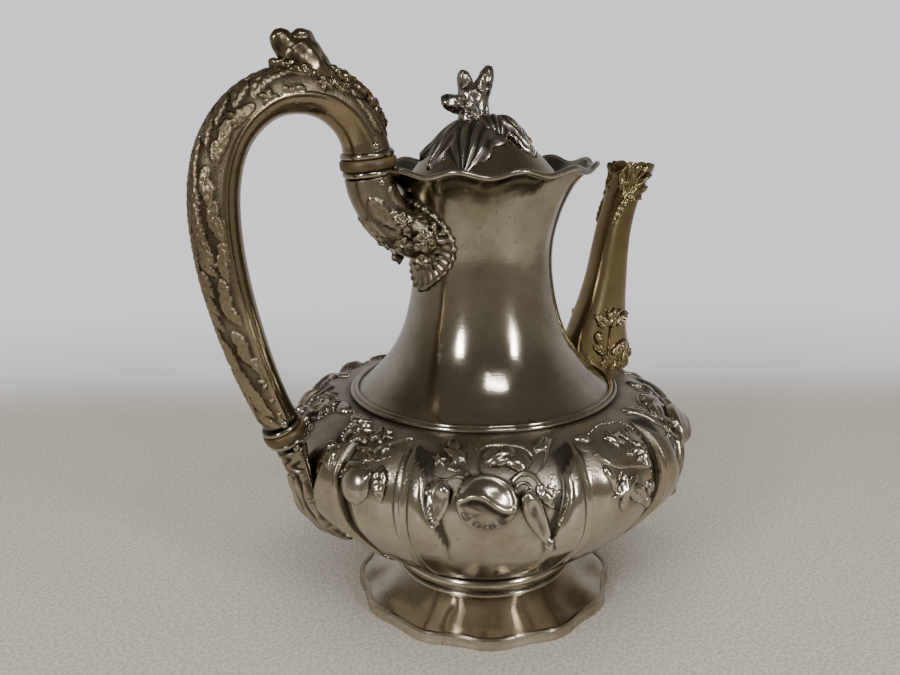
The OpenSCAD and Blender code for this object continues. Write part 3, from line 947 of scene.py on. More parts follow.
body = {
    "path": [[38, 21], [44, 25], [50, 28.8], [55.4, 32], [61, 36.2],
             [66, 40.6], [71, 46], [75.6, 51.5], [79.4, 57], [82, 63],
             [83, 69], [82.4, 75], [80.6, 80], [77.4, 84.5], [72.5, 88.2],
             [66, 90.6], [58, 91.6], [50, 92]],
    "wall": 1.1,
    "lobes": [(180, 16), (240, 24), (120, 24), (316, 24), (44, 24)],
    "rows": 96,
    "widest": 69,  # height of the widest place
}
bodySizes = {  # millimetres, except the depth, which is a share
    "Panel Depth": 0.036, "Crescent Rise": 2.7, "Ground Sink": 1.4,
    "Edge Roll": 0.7,
}


def bodyColumns(lobes):
    # Directions in degrees, close together where a lobe's edge is.
    turns = list(np.arange(0, 360, 0.6))
    for middle, half in lobes:
        for edge in (middle - half, middle + half):
            turns = [t for t in turns
                     if abs((t - edge + 180) % 360 - 180) > 2.4]
            turns += list((edge + np.linspace(-2.4, 2.4, 21)) % 360)
    return np.array(sorted(turns))


def lobeTree(lobes, sizes):
    # Draws the panels between the lobes in, and raises the crescent along
    # each lobe's edge above the sunk ground of the ornament.
    tree, start, size = shapeTree("pulledLobes", sizes)
    x, y, z, radius = placesIn(tree)
    turn = y.math("ARCTAN2", x) * (180 / math.pi)
    inner = None   # degrees inside the nearest lobe's edge
    near = None    # 0 in the middle of a lobe, 1 at its edge
    for middle, half in lobes:
        away = (turn - float(middle)).math("WRAP", 180.0, -180.0) \
            .math("ABSOLUTE")
        depth = away.math("MULTIPLY_ADD", -1.0, float(half))
        share = away / float(half)
        inner = depth if inner is None else inner.math("MAXIMUM", depth)
        near = share if near is None else near.math("MINIMUM", share)
    inside = inner.ramp(-0.6, 0.1)
    reach = z.ramp(21.0, 31.0) * z.ramp(91.5, 86.5)
    panel = inner.ramp(-0.3, -7.0) * -0.7 + 1.0
    depth = panel * inside.flip() + near * near * 0.2 * inside
    share = depth * reach * size["Panel Depth"]
    width = z.ramp(91.0, 83.0) * (z.ramp(82.0, 56.0) * 4.5 + 6.5) + 0.2
    arch = ((inner / width).math("MINIMUM", 1.0) * (math.pi * 0.8)) \
        .math("SINE")
    step = (width - inner).ramp(-0.2, 1.1)
    high = z.ramp(91.0, 86.5) * z.ramp(40.0, 62.0)
    crescent = step * inside * high * (arch * 0.72 + 0.28) \
        * size["Crescent Rise"]
    ground = step.flip() * inside * z.ramp(91.4, 88.0) \
        * z.ramp(50.0, 66.0) * size["Ground Sink"]
    roll = inner.ramp(-0.5, 0.1) * inner.ramp(1.9, 0.3) * reach \
        * size["Edge Roll"]
    wanted = radius * share.flip() + crescent - ground + roll
    grow = wanted / radius * mm
    movePlaces(tree, start, x * grow, y * grow, z * mm)
    return tree


def pointsOf(piece):
    out = np.empty(len(piece.data.vertices) * 3)
    piece.data.vertices.foreach_get("co", out)
    return out.reshape(-1, 3) / mm


def makeBody():
    rows = body["rows"]
    path = smoothPath(body["path"], rows)
    inner = smoothPath(body["path"], 14)
    inner = inner + body["wall"] * sideOf(inner)
    turns = bodyColumns(body["lobes"])
    grid = turned(np.concatenate([path, inner[::-1]]), np.radians(turns))
    shape = grid.shape
    shell = makePiece("body_shell_fine", grid,
                      gridFaces(*shape[:2], wrapRows=True),
                      metals["bodySilver"])
    runTree(shell, lobeTree(body["lobes"], bodySizes), bodySizes,
            metals["bodySilver"])
    grid = pointsOf(shell).reshape(shape)
    uneven = 0.13 * lumps(grid, 30, 4) + 0.07 * lumps(grid, 12, 9)
    uneven[rows:] = 0
    swell(grid, uneven)  # hand-raised unevenness
    movePoints(shell.data, grid)
    outer = grid[:rows]
    radius, high = fromAxis(outer), outer[..., 2]
    pad = 12  # columns taken from the other end to soften across the seam
    wrapped = np.pad(radius, ((0, 0), (pad, pad)), mode="wrap")
    valley = np.full(shape[:2], 0.8)  # where painted shade and grime lie
    valley[:rows] = np.clip(soften(wrapped, 4)[:, pad:-pad] - radius, 0, 1.6)
    inner = np.max([half - np.abs((turns - middle + 180) % 360 - 180)
                    for middle, half in body["lobes"]], 0)[None, :]
    width = ramp(-high, -91, -83) * (ramp(-high, -82, -56) * 4.5 + 6.5) + 0.2
    top = 1 - ramp(high, 88, 91)
    # Painted shade: a dark line just outside each lobe's edge and another
    # along each crescent's inner edge. The shoulder also darkens towards its
    # top.
    valley[:rows] += 0.4 * np.exp(-((inner + 0.9) / 0.55)**2) \
        * ramp(high, 26, 40) * top \
        + 0.4 * np.exp(-((inner - width - 0.4) / 0.8)**2) \
        * ramp(high, 55, 66) * top + 0.22 * ramp(high, 80, 88)
    matting = np.zeros(shape[:2])
    matting[:rows] = ramp(high, 76, 86)
    addField(shell.data, "recess", valley)
    addField(shell.data, "matting", matting)
    shell.data.update()
    settle(shell, "pot", "silver", "body_shell")
    run = runAlong(path)
    run -= np.interp(body["widest"], path[:, 1], run)
    return Surface(outer, run, np.append(turns, turns[0] + 360)), path, run


bodySurface, bodyPath, bodyRun = makeBody()
print("body made")

reliefStep = 0.36  # spacing of the ornament's points
bodyShade = []     # where the ground between the ornament darkens


def shadeGround(shell, places, strength):
    # Painted shade and grime on the ground round the ornament.
    layer = shell.data.attributes["recess"]
    dark = np.empty(len(shell.data.vertices))
    layer.data.foreach_get("value", dark)
    values = np.concatenate([v for p, v in places])
    tree = kdtree.KDTree(len(values))
    for k, point in enumerate(np.concatenate([p for p, v in places])):
        tree.insert(point, k)
    tree.balance()
    for k, point in enumerate(pointsOf(shell)):
        spot, found, away = tree.find(point)
        if away < 1.6:
            dark[k] += strength * values[found]
    layer.data.foreach_set("value", dark)


def field(half, low, high, step=reliefStep):
    # Places across and along that an ornament is worked out at.
    return np.meshgrid(np.arange(-half, half + 0.01, step),
                       np.arange(low, high, step))


def bodyRelief(name, middle, half, motifs, mirror=1, low=-16.0):
    # Ornament laid on the body about one direction.
    across, along = field(half, low, 39.0)
    height = together(across * mirror, along, motifs)
    height = np.where(height > 0, height * 1.3, height)
    radius = np.interp(along, bodyRun, bodyPath[:, 0])
    around = middle + np.degrees(across / radius)
    points, normals = bodySurface.frame(along, around, 0.9, 0.9)
    near = soften((height > 0).astype(float), 5)
    bodyShade.append((points[::3, ::3].reshape(-1, 3),
                      near[::3, ::3].ravel()))
    height = np.where(height > 0, np.maximum(
        soften(np.maximum(height, 0), 1), 0.1), height)
    points, faces, dip = reliefPatch(height, points, normals)
    piece = makePiece(name, points, faces, metals["ornamentSilver"],
                      recess=dip)
    settle(piece, "pot", "silver")


for row in (  # name, direction, half width, ornament, -1 if mirrored, lowest
        ("lobe_ornament_front", 240, 25, podField),
        ("lobe_ornament_back", 120, 25, podField, -1),
        ("lobe_ornament_spout_side", 316, 25, podField, -1),
        ("lobe_ornament_spout_far_side", 44, 25, podField),
        ("lobe_ornament_handle", 180, 24, vineField, 1, 8),
        ("panel_ornament_front", 278, 19, ivyField),
        ("panel_ornament_back", 82, 19, ivyField, -1),
        ("panel_ornament_handle_side", 206, 14, fruitField),
        ("panel_ornament_handle_far_side", 154, 14, fruitField, -1),
        ("panel_ornament_spout", 0, 27, reedField)):
    bodyRelief(*row)
shadeGround(bpy.data.objects["body_shell_fine"], bodyShade, 0.55)
print("body ornament made")


neck = {
    "path": [[54.6, 92], [51.5, 94], [48.6, 96.4], [45.6, 99.3],
             [42.6, 102.6], [39.6, 106.6], [36.8, 111], [34.3, 116],
             [32.3, 121.5], [30.8, 127], [29.6, 133], [28.8, 139],
             [28.4, 145], [28.5, 150.5], [29.1, 155.5], [30.2, 160.5],
             [31.7, 165.5], [33.5, 170], [35.8, 174.4], [38.6, 178.2],
             [41.4, 181], [43.8, 182.8]],
    "wall": 1.1, "rows": 90, "turns": 192,
}
waveSizes = {  # twelve waves, millimetres, the turn in degrees
    "Waves": 12.0, "In And Out": 0.5, "Up And Down": 1.1, "Turn": 15.0,
    "None Below": 172.0, "Full Above": 183.4,
}


def waveTree(sizes):
    # Bends the edge of a turned piece into waves.
    tree, start, size = shapeTree("wavedEdge", sizes)
    x, y, z, radius = placesIn(tree)
    wave = ((y.math("ARCTAN2", x) - size["Turn"] * (math.pi / 180))
            * size["Waves"]).math("COSINE")
    share = z.ramp(size["None Below"], size["Full Above"])
    grow = (radius + wave * share * size["In And Out"]) / radius * mm
    movePlaces(tree, start, x * grow, y * grow,
               (z + wave * share * size["Up And Down"]) * mm)
    return tree


waves = waveTree(waveSizes)


def circleOutline(r, z, size, count=12):
    a = np.linspace(0, fullTurn, count, endpoint=False)
    return np.stack([r + size * np.cos(a), z + size * np.sin(a)], 1)


def makeNeck():
    path = smoothPath(neck["path"], neck["rows"])
    grid, faces = revolve(thickStrip(path, neck["wall"]), neck["turns"])
    swell(grid, 0.06 * lumps(grid, 34, 21) * ramp(grid[..., 2], 94, 110)
          * (1 - ramp(grid[..., 2], 160, 175)))
    # Darker at the neck's foot by the base ring, and on the whole inside wall.
    low = (1 - ramp(grid[..., 2], 92, 95)) * 0.7
    low[neck["rows"]:] = 0.5
    stand("neck_wall", grid, faces, "neckSilver", recess=low,
          shape=(waves, waveSizes))
    stand("mouth_rim_wire", *revolve(circleOutline(44.7, 183.6, 1.15, 14),
                                     288),
          "ornamentSilver", shape=(waves, waveSizes))
    ring = joinParts([revolve(circleOutline(*row), 192) for row in
                      ((55.3, 92.6, 1.0), (53.7, 93.3, 0.9))])
    stand("neck_base_ring", *ring, "neckSilver")


foot = {
    "skirt": [[53.9, 4.6], [51, 5.9], [47.8, 7.2], [44.6, 8.9],
              [41.8, 10.8], [39.6, 12.4], [38.2, 13.4]],
    "collar": [[38, 13.6, 1.1], [36.4, 18.0, 3.0]],
    "band": [[53.2, 0], [55.0, 0], [55.3, 0.7], [55.0, 1.5], [54.7, 3.9],
             [55.2, 4.5], [54.8, 5.3], [53.4, 5.2]],
    "waves": {"Waves": 12.0, "In And Out": 0.9, "Up And Down": 0.0,
              "Turn": 0.0, "None Below": -2.0, "Full Above": -1.0},
    "bore": 34.6, "top": 22.2,
}


def makeFoot():
    stand("foot_edge_band", *revolve(np.array(foot["band"], float), 288),
          "footSilver", sharp=50, shape=(waves, foot["waves"]))
    path = smoothPath(foot["skirt"], 40)
    grid, faces = revolve(thickStrip(path, 1.2), 288)
    wave = np.cos(12 * np.arctan2(grid[..., 1], grid[..., 0]))
    grow = ramp(-grid[..., 2], -12.5, -5.2)
    swell(grid, foot["waves"]["In And Out"] * wave * grow)
    grid[..., 2] += (0.25 * wave + 0.2 * lumps(grid, 22, 6)) \
        * grow * ramp(-fromAxis(grid), -54, -50)
    stand("foot_skirt", grid, faces, "footSilver")
    mould = [[38, 12.4], [38, foot["top"]]]
    for r, z, size in foot["collar"]:
        for t in np.radians(np.linspace(-62, 62, 9)):
            mould.append([r + size * math.cos(t), z + size * math.sin(t)])
    mould = sorted(mould, key=lambda p: p[1])
    grid, faces = revolve(np.array([[foot["bore"], 12.3], *mould,
                                    [foot["bore"], foot["top"]]]), 160)
    stand("foot_collar", grid, faces, "footSilver", sharp=55,
          recess=np.clip(38.9 - fromAxis(grid), 0, 1))


makeNeck()
makeFoot()
print("neck, rim and foot made")


handle = {
    "path": [[-50.7, 191.2, 8.8], [-51.9, 196, 8.7], [-54.6, 201.4, 8.5],
             [-59.4, 206.8, 8.4], [-66.6, 211.2, 8.3], [-75.6, 213, 8.2],
             [-85.4, 211.8, 8.2], [-94, 207.2, 8.3], [-100.6, 200.4, 8.4],
             [-105, 192.2, 8.6], [-107.4, 183, 8.7], [-108.3, 172, 8.7],
             [-107.8, 160, 8.6], [-106.2, 148, 8.4], [-103.8, 136, 8.1],
             [-100.8, 124, 7.8], [-97.3, 112.5, 7.4], [-93.8, 102.5, 7],
             [-90.8, 95, 6.8]],
    "rows": 560, "cols": 104,
    "ridge": 98,   # degrees from the back of the handle to its ridge line
    "seed": 7,
}


def handleMotifs(length, seed):
    # Long low leaves climbing beside a vine, with a few flowers between.
    rng = np.random.default_rng(seed)

    def vine(s):
        return 2.6 * math.sin(s / 9.0)

    sway = [[vine(s), s] for s in np.arange(2, length - 2, 3.2)]
    motifs = [(stem, sway[k:k + 9], 0.7, 0.0)
              for k in range(0, len(sway) - 3, 8)]
    s, hand = 3.0, 1
    while s < length - 6:
        at = vine(s)
        for side in (hand, -hand):
            lean = rng.uniform(16, 34)
            motifs.append((leaf, (at + side * 1.4, s), 90 - side * lean,
                           rng.uniform(9.5, 13), rng.uniform(3.8, 5.0),
                           0.9, 4, side * rng.uniform(0.05, 0.2)))
            out = (at + side * rng.uniform(8.6, 11.0), s + rng.uniform(0, 5))
            if rng.integers(0, 4) < 3:
                motifs.append((leaf, out, 90 - side * rng.uniform(-12, 26),
                               rng.uniform(8, 11), rng.uniform(3.4, 4.4),
                               0.8, 3))
            else:
                motifs.append((rosette, out, 3.2, 5, rng.uniform(0, 70),
                               0.95))
        s += rng.uniform(5.4, 6.6)
        hand = -hand
    return motifs


def tubeAlong(path, rows, cols, less=0.0):
    # Tube about a line [x, z, radius] in the upright middle plane, with the
    # way out at each point. Direction 0 is away from the curve's middle.
    line = smoothPath(path, rows)
    side = -sideOf(line)
    a = np.linspace(0, fullTurn, cols, endpoint=False)
    out = np.stack([side[:, 0:1] * np.cos(a), np.sin(a) + 0 * side[:, 0:1],
                    side[:, 1:2] * np.cos(a)], -1)
    middle = np.stack([line[:, 0], 0 * line[:, 0], line[:, 1]], -1)
    grid = middle[:, None] + out * (line[:, 2] - less)[:, None, None]
    return grid, line, out, (np.degrees(a) + 180) % 360 - 180


def makeHandle():
    rows, cols, edge = handle["rows"], handle["cols"], handle["ridge"]
    grid, line, out, turn = tubeAlong(handle["path"], rows, cols)
    run = runAlong(line)
    arc = np.radians(turn)[None, :] * line[:, 2:3]
    height = together(arc, run[:, None] + 0 * arc,
                      handleMotifs(run[-1], handle["seed"]))
    ends = (ramp(run, 0, 5) * (1 - ramp(run, run[-1] - 5, run[-1])))[:, None]
    shown = (1 - ramp(np.abs(turn), edge - 12, edge - 4))[None, :]
    relief = np.maximum(height, 0) * shown * ends
    ridge = 0.7 * np.exp(-((np.abs(turn) - edge) / 4.0)**2)
    inside = -0.3 * ramp(np.abs(turn), edge, 150)
    rise = relief - 0.25 * shown * ends + (ridge + inside)[None, :] * ends
    outer = grid + out * rise[..., None]
    inner = tubeAlong(handle["path"], 40, cols, 1.6)[0]
    whole = np.concatenate([outer, inner[::-1]])
    wide = np.concatenate([relief, relief, relief], 1)
    recess, matting = np.zeros(whole.shape[:2]), np.zeros(whole.shape[:2])
    recess[:rows] = 1.3 * np.clip(soften(wide, 3) - wide, 0, 2)[
        :, cols:2 * cols] + 0.3 * shown * (relief <= 0)
    matting[:rows] = shown
    stand("handle_tube", whole, gridFaces(len(whole), cols, wrapRows=True),
          "handleSilver", recess=recess, matting=matting)
    return Surface(outer, run, np.linspace(0, 360, cols + 1))


handleSurface = makeHandle()


def melt(piece, cell):
    # Runs crossing limbs together into one casting.
    remesh = piece.modifiers.new("melt", "REMESH")
    remesh.mode, remesh.voxel_size = "VOXEL", cell * mm
    remesh.use_smooth_shade = True
    makePlain(piece, piece.data.materials[0])
    normals = np.empty(len(piece.data.vertices) * 3)
    piece.data.vertices.foreach_get("normal", normals)
    return pointsOf(piece), normals.reshape(-1, 3)


def roughen(piece, points, normals, height, recess):
    # Moves a casting's skin in and out and darkens its hollows.
    movePoints(piece.data, points + normals * height[:, None])
    addField(piece.data, "recess", np.clip(recess, 0, 1))
    piece.data.update()


def makeArchStrip():
    # Bold leafage over the arch, from the thumbpiece to the upper joint.
    across, along = field(12.5, 3.0, 46.0)
    height = together(across, along, [
        (leaf, (0.0, 44.0), -88, 19.0, 11.0, 2.6, 6),
        (leaf, (2.0, 30.0), -112, 16.0, 9.0, 2.4),
        (leaf, (-2.4, 29.0), -70, 15.0, 8.4, 2.2),
        (leaf, (0.0, 19.6), -90, 15.0, 8.6, 2.4),
        (curlEnd, (6.6, 24.0), 4.0, 30, 1),
        (curlEnd, (-6.6, 24.0), 4.0, 150, -1),
        (bud, (5.4, 36.0), (3.0, 4.6), 0, 2.2),
        (bud, (-5.4, 36.0), (3.0, 4.6), 0, 2.2)])
    points, normals = handleSurface.frame(along, np.degrees(across / 8.6),
                                          1.2, 8.0)
    points, faces, dip = reliefPatch(height, points, normals, sink=1.0)
    stand("arch_leaf_strip", points, faces, "handleSilver", recess=dip)


def makeThumbpiece():
    # Forked bud of two closed lobes on a short leafy stalk.
    def petals(t, a):
        return 1 + 0.05 * math.sin(math.pi * t) * np.cos(a * 5) \
            + 0.025 * np.cos(a * 9 + t * 7)

    lines = [
        [[-67.6, 0, 210.0, 8.2], [-70.4, 0, 216.5, 8.3],
         [-73.0, 0, 222.0, 8.0], [-75.2, 0, 226.2, 7.2],
         [-76.6, 0, 229.0, 5.0], [-77.2, 0, 230.2, 1.8]],
        [[-76.0, 0, 221.0, 4.0], [-79.2, 0, 226.6, 4.4],
         [-81.0, 0, 230.0, 4.1], [-81.8, 0, 232.2, 2.9],
         [-82.1, 0, 233.2, 1.1]],
        [[-72.0, 0, 222.0, 4.2], [-72.9, 0, 227.5, 4.6],
         [-73.6, 0, 230.8, 4.2], [-73.9, 0, 232.6, 3.0],
         [-74.0, 0, 233.5, 1.1]],
        [[-60.8, 3.4, 213.4, 1.6], [-63.6, 4.8, 216.6, 2.5],
         [-67.0, 4.8, 220.6, 1.9], [-69.6, 3.8, 224.0, 0.8]],
        [[-60.8, -3.4, 213.4, 1.6], [-63.6, -4.8, 216.6, 2.5],
         [-67.0, -4.8, 220.6, 1.9], [-69.6, -3.8, 224.0, 0.8]],
    ]
    parts = [cappedTube(roundTube(smoothPath(line, 22, flat=3), 40,
                                  groove=petals)) for line in lines]
    points, faces = joinParts(parts)
    points[:, 1] *= 0.72
    piece = makePiece("thumbpiece_fine", points, faces,
                      metals["handleSilver"])
    points, normals = melt(piece, 0.45)
    rough = 0.1 * lumps(points, 5.0, 8) + 0.05 * lumps(
        points * [1.0, 1.0, 0.5], 2.6, 9)
    roughen(piece, points, normals, rough, 0.25 - rough * 3)
    settle(piece, "pot", "silver", "thumbpiece")


makeArchStrip()
makeThumbpiece()

joints = {
    "upper": {"at": (-50.2, 187.2), "lean": 6, "radius": 10.6},
    "lower": {"at": (-89.2, 89.9), "lean": 22.5, "radius": 8.2},
    "gap": 3.8,
}


def atJoint(points, joint):
    # Places points made about the upright axis at a handle joint.
    a = math.radians(-joint["lean"])
    p = np.asarray(points, float)
    return np.stack([p[..., 0] * math.cos(a) + p[..., 2] * math.sin(a)
                     + joint["at"][0], p[..., 1],
                     -p[..., 0] * math.sin(a) + p[..., 2] * math.cos(a)
                     + joint["at"][1]], -1)


def makeJoint(which, inner, thick, less):
    # Insulating ring between two beads. less: how far in each bead sits.
    joint = joints[which]
    half, r = joints["gap"] / 2, joint["radius"]
    outline = np.array([[inner, -half], [r - 0.5, -half], [r, -half + 0.5],
                        [r + 0.15, 0], [r, half - 0.5], [r - 0.5, half],
                        [inner, half]])
    grid, faces = revolve(outline, 72)
    piece = makePiece(which + "_insulator_fine", atJoint(grid, joint), faces,
                      agedHorn, sharp=60)
    settle(piece, "pot", "insulator_horn", which + "_insulator")
    t = np.linspace(-math.pi * 0.56, math.pi * 0.56, 15)
    for name, sign in (("socket", -1), ("handle", 1)):
        edge = r - less[name]
        bead = np.stack([edge - thick + thick * np.cos(t),
                         sign * (half + thick + 0.05) + thick * np.sin(t)],
                        1)
        bead = np.concatenate([[[inner, bead[0, 1]]], bead,
                               [[inner, bead[-1, 1]]]])
        grid, faces = revolve(bead, 72)
        stand(which + "_" + name + "_bead", atJoint(grid, joint), faces,
              "neckSilver", sharp=60,
              recess=np.clip((edge - fromAxis(grid)) * 0.8, 0, 1))


makeJoint("upper", 7.1, 1.3, {"socket": 0.5, "handle": 0.5})
makeJoint("lower", 4.9, 1.1, {"socket": 0.6, "handle": 0.4})

pinRows = [  # joint, distance along it, how far out the head sits
    ("upper", 6.6, 8.8), ("upper", -6.6, 9.6),
    ("lower", 6.0, 7.0), ("lower", -5.4, 6.3),
]
pinSizes = {"Head": 1.5, "Rise": 0.55}  # millimetres, and a share


def makePins():
    # One round head put on a point at each place, both sides of a joint.
    places = [atJoint([0, sign * (out + 0.1), along], joints[which])
              for which, along, out in pinRows for sign in (-1, 1)]
    mesh = bpy.data.meshes.new("pins")
    mesh.from_pydata((np.array(places) * mm).tolist(), [], [])
    piece = bpy.data.objects.new("handle_pins_fine", mesh)
    bpy.context.scene.collection.objects.link(piece)
    tree, start, size = shapeTree("pinHeads", pinSizes)
    ball = add(tree, "GeometryNodeMeshUVSphere",
               {"Segments": 16, "Rings": 8, "Radius": size["Head"] * mm})
    flat = add(tree, "ShaderNodeCombineXYZ", {0: 1.0, 1: size["Rise"],
                                              2: 1.0})
    press = add(tree, "GeometryNodeTransform",
                {"Geometry": ball.outputs["Mesh"],
                 "Scale": flat.outputs[0]})
    smooth = add(tree, "GeometryNodeSetShadeSmooth",
                 {"Geometry": press.outputs["Geometry"]})
    spread = add(tree, "GeometryNodeInstanceOnPoints",
                 {"Points": start.outputs["Mesh"],
                  "Instance": smooth.outputs["Geometry"]})
    endTree(tree, start, spread.outputs["Instances"])
    runTree(piece, tree, pinSizes, metals["neckSilver"])
    settle(piece, "pot", "silver", "handle_pins")


makePins()
print("handle made")


upperSocket = [[-49.75, 182.6, 9.6], [-48.9, 177.5, 9.3], [-46.8, 172.4, 9],
               [-43.4, 167.6, 9], [-38.8, 163.6, 9.4], [-33, 160.6, 10.2],
               [-26.5, 158.6, 11]]
lowerSocket = [[-86.9, 83.6, 6.1, 6.1], [-84.9, 78.4, 6.6, 5.6],
               [-83.4, 73, 7.8, 5.2], [-83, 68, 9.2, 4.6],
               [-82, 62, 10.4, 4.1], [-79.4, 56, 10.4, 3.8],
               [-75.2, 50.2, 8.8, 3.4], [-70.2, 44.6, 6, 2.8],
               [-64.6, 39, 2.6, 1.6]]


def makeUpperSocket():
    rows, inside, cols = 110, 40, 96
    grid, line, out, turn = tubeAlong(upperSocket, rows, cols)
    run = np.linspace(0, 38, rows)
    arc = np.radians(turn)[None, :] * line[:, 2:3]
    motifs = []
    for sign in (-1, 1):
        motifs += [
            (leaf, (sign * 9, 6), 90 - sign * 10, 16, 6.4, 0.8),
            (leaf, (sign * 19, 4), 90 - sign * 4, 15, 6.0, 0.8),
            (leaf, (sign * 14, 14), 90 + sign * 6, 14, 6.0, 0.9),
            (leaf, (sign * 3, 12), 90, 14, 5.4, 0.8)]
    height = together(arc, run[:, None] + 0 * arc, motifs)
    relief = np.maximum(height, 0) * ramp(run, 1, 4)[:, None]
    dip = np.zeros((rows + inside, cols))
    dip[:rows] = np.clip(soften(relief, 3) - relief, 0, 2) + 0.1
    inner = tubeAlong(upperSocket, inside, cols, 1.4)[0]
    whole = np.concatenate([grid + out * relief[..., None], inner[::-1]])
    # Where the socket meets the neck it ends inside the neck's wall.
    path = smoothPath(neck["path"], 200)
    least = np.interp(whole[..., 2], path[:, 1], path[:, 0]) - 0.6
    push = np.maximum(least / fromAxis(whole), 1)
    whole[..., :2] *= np.where(whole[..., 2] < 178, push, 1)[..., None]
    stand("upper_handle_socket", whole,
          gridFaces(rows + inside, cols, wrapRows=True), "socketSilver",
          recess=dip)


def makeShellPlate():
    # Shell with spreading ribs, lying on the neck under the socket.
    path = smoothPath(neck["path"], 200)
    across, z = field(24.5, 135.0, 174.5)
    radius = np.interp(z, path[:, 1], path[:, 0])
    away = math.pi + across / radius
    low = 156.5 - z  # how far below the shell's middle
    th = np.arctan2(across, low)
    ribs = np.cos(th * 30)
    share = np.hypot(across, low / 0.92) \
        / (18.6 + 0.25 * ribs + 3.4 * np.exp(-(th / 0.42)**2))
    height = 0.5 + 0.6 * (0.5 + 0.5 * ribs) * ramp(share, 0.3, 0.8) \
        + 0.9 * np.exp(-((share - 0.97) / 0.04)**2)
    height = np.where(share < 1, height, -1.0)
    flowers = []
    for sign in (-1, 1):
        flowers += [(rosette, (sign * 11.6, 160.4), 5.2, 5, 15, 2.4),
                    (rosette, (sign * 8.2, 151.4), 4.6, 6, 50, 2.2)]
    height = np.maximum(height, together(across, z, flowers))
    slope = np.gradient(path[:, 0]) / np.gradient(path[:, 1])
    normals = np.stack([np.cos(away), np.sin(away),
                        -np.interp(z, path[:, 1], slope)], -1)
    normals /= np.linalg.norm(normals, axis=-1)[..., None]
    points = np.stack([radius * np.cos(away), radius * np.sin(away), z], -1)
    points, faces, dip = reliefPatch(height, points, normals, sink=0.6)
    stand("upper_socket_shell_plate", points, faces, "socketSilver",
          recess=dip + 0.05)


def bloom(centre, outward, size, petals, rise):
    # Cupped flower standing on a place, as one closed solid.
    outward = np.array(outward, float)
    outward /= np.linalg.norm(outward)
    first = np.cross(outward, [0.3, 0.1, 1.0])
    first /= np.linalg.norm(first)
    second = np.cross(outward, first)
    a = np.linspace(0, fullTurn, petals * 12, endpoint=False) + size
    around = np.cos(a)[:, None] * first + np.sin(a)[:, None] * second
    wave, rings, rows = np.cos(petals * a), 12, []
    for k in range(1, rings + 1):
        t = k / rings
        r = size * t * (1 - 0.24 * t * (0.5 - 0.5 * wave))
        h = rise * (0.5 + 0.75 * math.sin(math.pi * t * 0.92)
                    * (0.55 + 0.45 * wave) + 0.9 * math.exp(-(t / 0.26)**2))
        rows.append(centre + r[:, None] * around + h[:, None] * outward)
    for t in (0.92, 0.3):
        rows.append(centre + size * t * 0.7 * around - 0.9 * outward)
    return cappedTube(np.array(rows))


flowerRows = [  # place, facing, size, petals, rise; the far side is mirrored
    ((-41.6, -9.8, 165.4), (-0.1, -1, -0.05), 4.6, 5, 1.5),
    ((-34.6, -12.4, 158.4), (-0.1, -1, -0.1), 5.0, 6, 1.6),
    ((-40.4, -7.4, 157.0), (-0.3, -0.8, -0.6), 4.4, 5, 1.5),
    ((-34.0, -9.4, 150.0), (-0.4, -0.85, -0.4), 4.0, 5, 1.4),
]


def makeSocketFlowers():
    points, faces = joinParts([
        bloom(np.array(place) * (1, sign, 1), np.array(way) * (1, sign, 1),
              *rest) for place, way, *rest in flowerRows
        for sign in (1, -1)])
    stand("upper_socket_flowers", points, faces, "socketSilver",
          recess=np.clip(0.15 + 0.4 * lumps(points, 4, 8), 0, 1))


def makeLowerSocket():
    # Long ribbed leaf that hugs the lobe below the handle.
    rows = 130
    line = smoothPath(lowerSocket, rows)
    out = -sideOf(line)
    out = -out if out[0, 0] > 0 else out
    t = np.linspace(0, 1, rows)[:, None]
    a = np.linspace(0, fullTurn, 112, endpoint=False)[None, :]
    up, wide = np.sin(a), np.cos(a)
    ribs = 0.55 * np.cos(wide * 15) * ramp(t, 0.12, 0.3) \
        * (1 - ramp(t, 0.75, 1.0))
    veins = 0.3 * np.cos(t * 26 - np.abs(wide) * 5) * ramp(t, 0.1, 0.25) \
        * (1 - ramp(t, 0.85, 1.0))
    keel = 0.7 * np.exp(-(wide / 0.09)**2) * ramp(t, 0.1, 0.3)
    scroll = 0.5 * np.cos(wide * 9 + 3 * np.sin(t * 40)) \
        * (1 - ramp(t, 0.14, 0.3)) * ramp(t, 0.0, 0.05)
    relief, front = ribs + veins + keel + scroll, np.clip(up * 3, 0, 1)
    sink = np.interp(t, [0, 0.12, 0.25, 1], [6.1, 3.5, 1.6, 0.7])
    low = -sink * np.power(np.maximum(-up, 0), np.where(t > 0.3, 0.5, 0.8))
    high = line[:, 3:4] * np.maximum(up, 0) + relief * front
    h = np.where(up >= 0, high, low)
    edge = 1 + 0.05 * np.cos(t * 60) * ramp(t, 0.3, 0.4)
    grid = np.stack([line[:, 0:1] + out[:, 0:1] * h,
                     line[:, 2:3] * wide * edge,
                     line[:, 1:2] + out[:, 1:2] * h], -1)
    dip = np.clip(0.3 - relief, 0, 1) * front
    stand("lower_handle_socket", *cappedTube(grid), "socketSilver",
          recess=np.append(dip.ravel(), [0, 0]))


makeUpperSocket()
makeShellPlate()
makeSocketFlowers()
makeLowerSocket()
print("sockets made")


spout = {
    "path": [[62.5, 87.5, 16.5, 10, 10], [61.8, 95, 16.6, 9.8, 5],
             [61.8, 103, 15.6, 9.3, 0], [63, 112, 13.4, 8.6, -2],
             [65, 122, 11, 7.8, -4], [66.8, 132, 9.4, 7.1, -4],
             [68.4, 143, 8.3, 6.6, -6], [70.6, 154, 7.6, 6.3, -12],
             [73.6, 163, 7.4, 6.2, -20], [76.8, 170, 8.2, 6.4, -24],
             [79.6, 176, 9.8, 6.8, -8]],
    "square": 0.72, "wall": 1.2, "rows": 120, "cols": 96,
}


